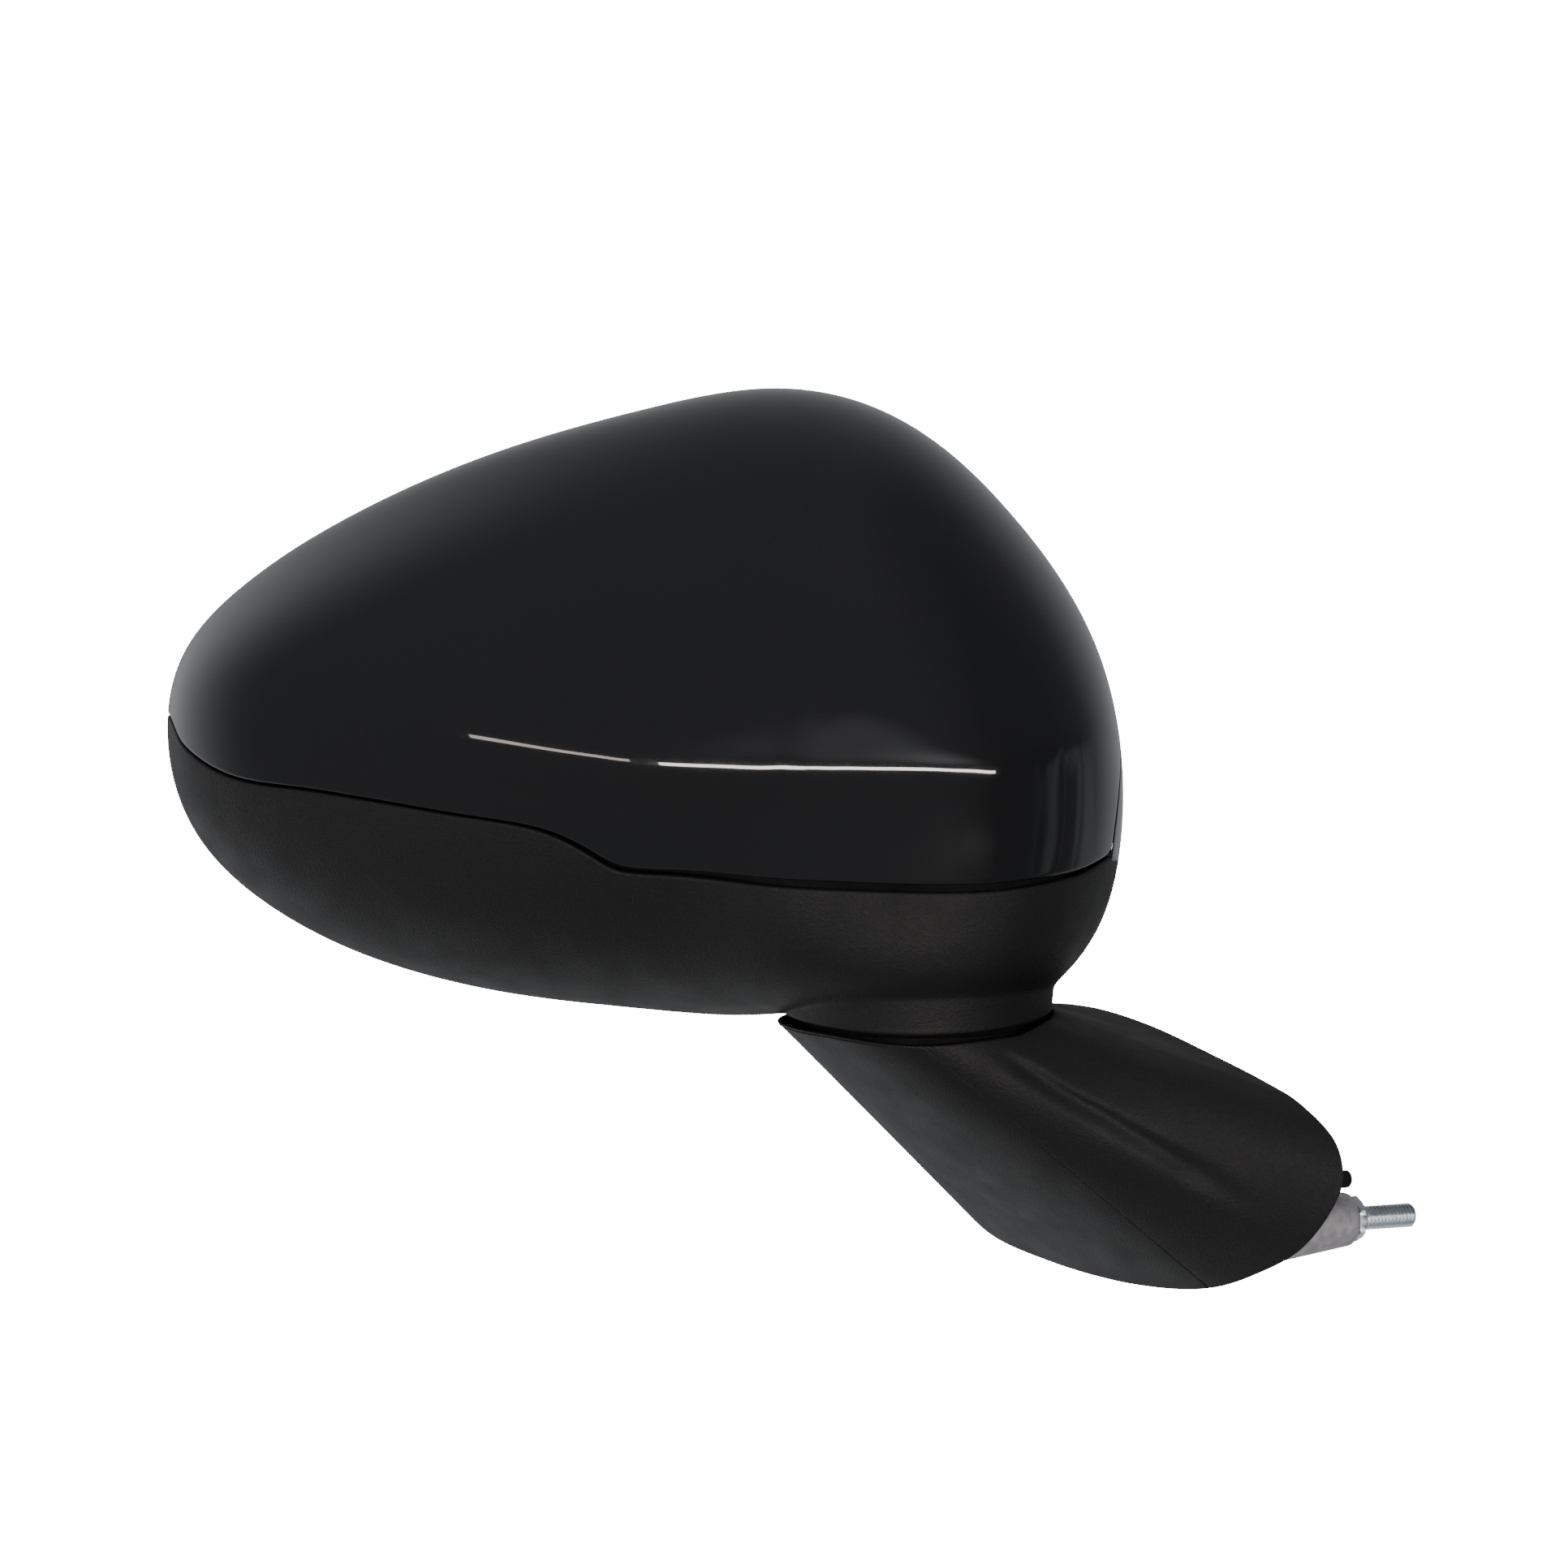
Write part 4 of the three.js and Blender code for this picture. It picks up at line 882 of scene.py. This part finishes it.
def stud():
    """Plated stud: hexagon collar with chamfered corners and a rolled thread."""
    foot = on_door(STUD_AT)
    axis = STUD_AXIS
    side = unit(np.cross(axis, [0, 0, 1.0]))
    other = np.cross(axis, side)
    start, end = STUD["collar"]
    root, corner = STUD["root"], HEXAGON["corner"]
    segments = 96
    angles = np.arange(segments) / segments * 2 * math.pi
    around = np.cos(angles)[:, None] * side + np.sin(angles)[:, None] * other
    rows = []

    def ring(radii, place):
        rows.append(foot + axis * place + around * np.broadcast_to(radii, segments)[:, None])

    flat = HEXAGON["flats"] / 2 / np.cos(np.mod(angles + math.pi / 6, math.pi / 3) - math.pi / 6)
    ring(STUD["radius"] * 0.95, root)
    ring(STUD["radius"] * 0.95, start)
    ring(np.minimum(flat, corner - 0.4), start)
    ring(np.minimum(flat, corner), start + 0.25)
    ring(np.minimum(flat, corner), end - 0.35)
    ring(np.minimum(flat, corner - 0.7), end)
    ring(3.05, end)
    ring(2.7, end + 0.5)
    for place in np.arange(end + 0.6, STUD["tip"] - 0.05, STUD["pitch"] / 12):
        phase = np.mod(place / STUD["pitch"] - angles / (2 * math.pi), 1)
        ridge = np.clip(1.15 - 2.3 * np.abs(phase - 0.5), 0, 0.92)
        fade = smoothstep(end + 0.5, end + 1.8, place)
        tip = 0.75 * smoothstep(STUD["tip"] - 0.9, STUD["tip"], place)
        ring(np.minimum(STUD["radius"] - 0.62 + 0.62 * ridge * fade, STUD["radius"] - tip), place)
    ring(1.6, STUD["tip"])
    points = np.array(rows)
    faces = grid_faces(len(rows), segments, True)
    hub = len(rows) * segments
    faces += fan(list(range(segments)), hub) + fan(list(range(hub - segments, hub))[::-1], hub + 1)
    ends = [foot + axis * root, foot + axis * STUD["tip"]]
    return piece("door_stud_threaded", np.vstack([points.reshape(-1, 3), ends]), faces,
                 "plated_steel", "foot", ["door_stud"])


def stud_boss():
    """Cast cone round the stud, a hair proud of the bracket's own."""
    foot = on_door(STUD_AT)
    length, base, end = CONE["length"], CONE["base"] + 0.15, CONE["end"] + 0.15
    profile = [(3.4, 3), (base - 0.5, 3), (base, 3.6)]
    profile += [(base + (end + 0.5 - base) * t, 3.6 + (length - 5) * t) for t in np.linspace(0.05, 1, 20)]
    profile += [(end + 0.25, length - 0.8), (end - 0.3, length - 0.2)]
    profile += [(end - 1.0, length + 0.12), (3.4, length + 0.12)]
    points, faces = turned(profile, foot, STUD_AXIS, 64)
    return piece("stud_boss_cast", points, faces, "cast_zinc", "foot")


def peg():
    foot = on_door(PEG_AT)
    radius, length = PEG["radius"], PEG["length"]
    profile = [(radius - 0.4, -7), (radius, -6.6), (radius, 4), (radius + 0.25, 4.4), (radius + 0.25, 5.2)]
    profile += [(radius, 5.6), (radius, length - 1.2)]
    profile += [(radius * math.cos(a), length - 1.2 + 1.2 * math.sin(a)) for a in np.linspace(0.2, 1.45, 6)]
    points, faces = turned(profile, foot, STUD_AXIS, 40)
    return piece("locating_peg_tip", points, faces, "black_rubber", "foot", ["locating_peg"])


def dress_cad():
    """Materials and smooth shading for the CAD nodes that stay in view."""
    slots = {part["node"]: part["material_slot"] for part in frame["record"]["subparts"]}
    for name, node in frame["nodes"].items():
        node.data.materials.clear()
        node.data.materials.append(MATERIALS[slots[name]])
        node.data.shade_smooth()
        node.data.set_sharp_from_angle(angle=math.radians(30))


# ------------------------------------------------------------------ studio


def area_light(name, place, aim, size, power, colour=(1, 1, 1)):
    light = bpy.data.lights.new(name, "AREA")
    light.shape = "RECTANGLE"
    light.size, light.size_y = size[0] / 1000, size[1] / 1000
    light.energy = power
    light.color = colour
    made = bpy.data.objects.new(name, light)
    bpy.context.scene.collection.objects.link(made)
    made.location = Vector(to_row(place))
    towards = Vector(to_row(aim)) - made.location
    made.rotation_euler = towards.to_track_quat("-Z", "Y").to_euler()
    made.visible_camera = False
    return made


def studio_world():
    """White backdrop for the camera, and the dim room that the part reflects.

    The room is brighter behind and outboard and darkest in front on the inboard side. A narrow glow
    stands in front of the part and a patch of faint clouds inboard of it.
    """
    world = bpy.data.worlds.new("studio")
    world.use_nodes = True
    bpy.context.scene.world = world
    nodes = Nodes(world.node_tree)
    way = nodes.add("ShaderNodeTexCoord").outputs["Generated"]
    axes = nodes.add("ShaderNodeSeparateXYZ", {"Vector": way}).outputs
    x, y, z = axes["X"], axes["Y"], axes["Z"]

    def work(operation, a, b=0.0):
        return nodes.add("ShaderNodeMath", {0: a, 1: b}, operation=operation).outputs[0]

    def ramp(value, low, high, dim, bright):
        return nodes.add("ShaderNodeMapRange", {
            "Value": value, "From Min": low, "From Max": high, "To Min": dim, "To Max": bright,
        }, interpolation_type="SMOOTHSTEP").outputs["Result"]

    def spot(centre, stretch, level):
        """A soft patch of light round one direction."""
        off = nodes.add("ShaderNodeVectorMath", {0: way, 1: centre}, operation="SUBTRACT").outputs[0]
        off = nodes.add("ShaderNodeVectorMath", {0: off, 1: stretch}, operation="MULTIPLY").outputs[0]
        distance = nodes.add("ShaderNodeVectorMath", {0: off}, operation="LENGTH").outputs["Value"]
        return ramp(distance, 0.0, 1.0, level, 0.0)

    level = ramp(y, -0.25, 1.0, FRONT_LEVEL, BACK_LEVEL)
    left = work("MULTIPLY", ramp(x, -0.9, -0.2, LEFT_LEVEL, 0.0), ramp(y, -0.4, 0.5, 0.0, 1.0))
    below = work("MULTIPLY", ramp(z, -0.8, 0.0, BELOW_LEVEL, 0.0), ramp(y, -0.2, 0.5, 0.0, 1.0))
    right_shade = work("MULTIPLY", ramp(x, 0.2, 0.7, 0.0, 1.0), ramp(z, 0.0, 0.3, RIGHT_SHADE, UPPER_SHADE))
    right_shade = work("MULTIPLY", right_shade, ramp(y, 0.25, 0.8, 1.0, 0.0))
    level = work("MULTIPLY", level, work("SUBTRACT", 1.0, right_shade))
    for extra in (left, below, spot(GLOW_WAY, GLOW_STRETCH, GLOW_LEVEL)):
        level = work("ADD", level, extra)
    clouds = nodes.add("ShaderNodeTexNoise", {"Vector": way, "Scale": 4.0, "Detail": 2, "Distortion": 0.6})
    puffs = ramp(clouds.outputs["Fac"], 0.42, 0.68, 0.0, CLOUD_LEVEL)
    level = work("ADD", level, work("MULTIPLY", puffs, spot(CLOUD_WAY, CLOUD_STRETCH, 1.0)))
    camera_ray = nodes.add("ShaderNodeLightPath").outputs["Is Camera Ray"]
    strength = work("MAXIMUM", level, work("MULTIPLY", camera_ray, WHITE_LEVEL))
    back = nodes.add("ShaderNodeBackground", {"Color": SKY_COLOUR, "Strength": strength})
    nodes.add("ShaderNodeOutputWorld", {"Surface": back.outputs["Background"]})


def floor():
    """Plain pale floor well below the part."""
    low = (cad_box[0].z - ORIGIN_M[2]) * 1000 - FLOOR_BELOW
    half = 4000
    corners = [(-half, -half, low), (half, -half, low), (half, half, low), (-half, half, low)]
    mesh = bpy.data.meshes.new("floor")
    mesh.from_pydata(to_row(corners).tolist(), [], [(0, 1, 2, 3)])
    material = bpy.data.materials.new("pale_floor")
    material.use_nodes = True
    nodes = Nodes(material.node_tree)
    place = nodes.add("ShaderNodeTexCoord").outputs["Object"]
    tone = nodes.add("ShaderNodeTexNoise", {"Vector": place, "Scale": 3.0, "Detail": 2})
    colour = nodes.blend(tone.outputs["Fac"], (0.93, 0.93, 0.93), (0.95, 0.95, 0.95))
    shader = nodes.add("ShaderNodeBsdfPrincipled", {
        "Base Color": colour, "Roughness": 0.9,
        "Emission Color": (1, 1, 1, 1), "Emission Strength": WHITE_LEVEL,
    })
    nodes.add("ShaderNodeOutputMaterial", {"Surface": shader.outputs["BSDF"]})
    mesh.materials.append(material)
    made = bpy.data.objects.new("floor", mesh)
    bpy.context.scene.collection.objects.link(made)
    made.visible_glossy = False
    made.visible_diffuse = False


def camera():
    data = bpy.data.cameras.new("camera")
    data.sensor_width = 36
    data.lens = data.sensor_width * CAMERA_AWAY / VIEW_WIDTH
    data.clip_end = 20
    made = bpy.data.objects.new("camera", data)
    bpy.context.scene.collection.objects.link(made)
    up = math.radians(CAMERA_UP)
    made.location = Vector(to_row(AIM + CAMERA_AWAY * np.array([0, -math.cos(up), math.sin(up)])))
    made.rotation_euler = (math.pi / 2 - up, 0, 0)
    bpy.context.scene.camera = made


def lights():
    """Two thin strips that draw the feature line, fill that adds no reflections, and a card for the stud."""
    crease = (-30, -35, 65)
    strips = [
        area_light("strip_right", (307, -1300, 40), crease, (1170, 60), 5.0, (1.0, 0.93, 0.85)),
        area_light("strip_left", (-565, -1300, 60), crease, (540, 50), 0.5, (1.0, 0.9, 0.82)),
    ]
    for strip in strips:
        strip.visible_diffuse = False
    fills = [
        area_light("fill_left", (-900, -700, -400), AIM, FILL_SIZE, 4.5, FILL_COLOUR),
        area_light("fill_top", (200, -700, 900), AIM, FILL_SIZE, 4.0, FILL_COLOUR),
    ]
    for fill in fills:
        fill.visible_glossy = False
    stud = on_door(STUD_AT) + STUD_AXIS * STUD["tip"] / 2
    card = area_light("stud_card", stud + [30, -90, -30], stud, (110, 110), 0.06)
    lit = bpy.data.collections.new("lit_by_stud_card")
    for name in ("door_stud_threaded", "stud_boss_cast"):
        lit.objects.link(bpy.data.objects[name])
    card.light_linking.receiver_collection = lit


dress_cad()
cap()
cap_skirt()
cover()
seam_tongue()
bezel()
glass()
foot_cover("foot_cover_front_skin", "foot_cover_front", FOOT_SPLITS[0], FOOT_SPLITS[1])
foot_cover("foot_cover_inboard_skin", "foot_cover_inboard", FOOT_SPLITS[1] - 1, FOOT_SPLITS[0])
swivel_seal()
stud()
stud_boss()
peg()
floor()
studio_world()
lights()
camera()
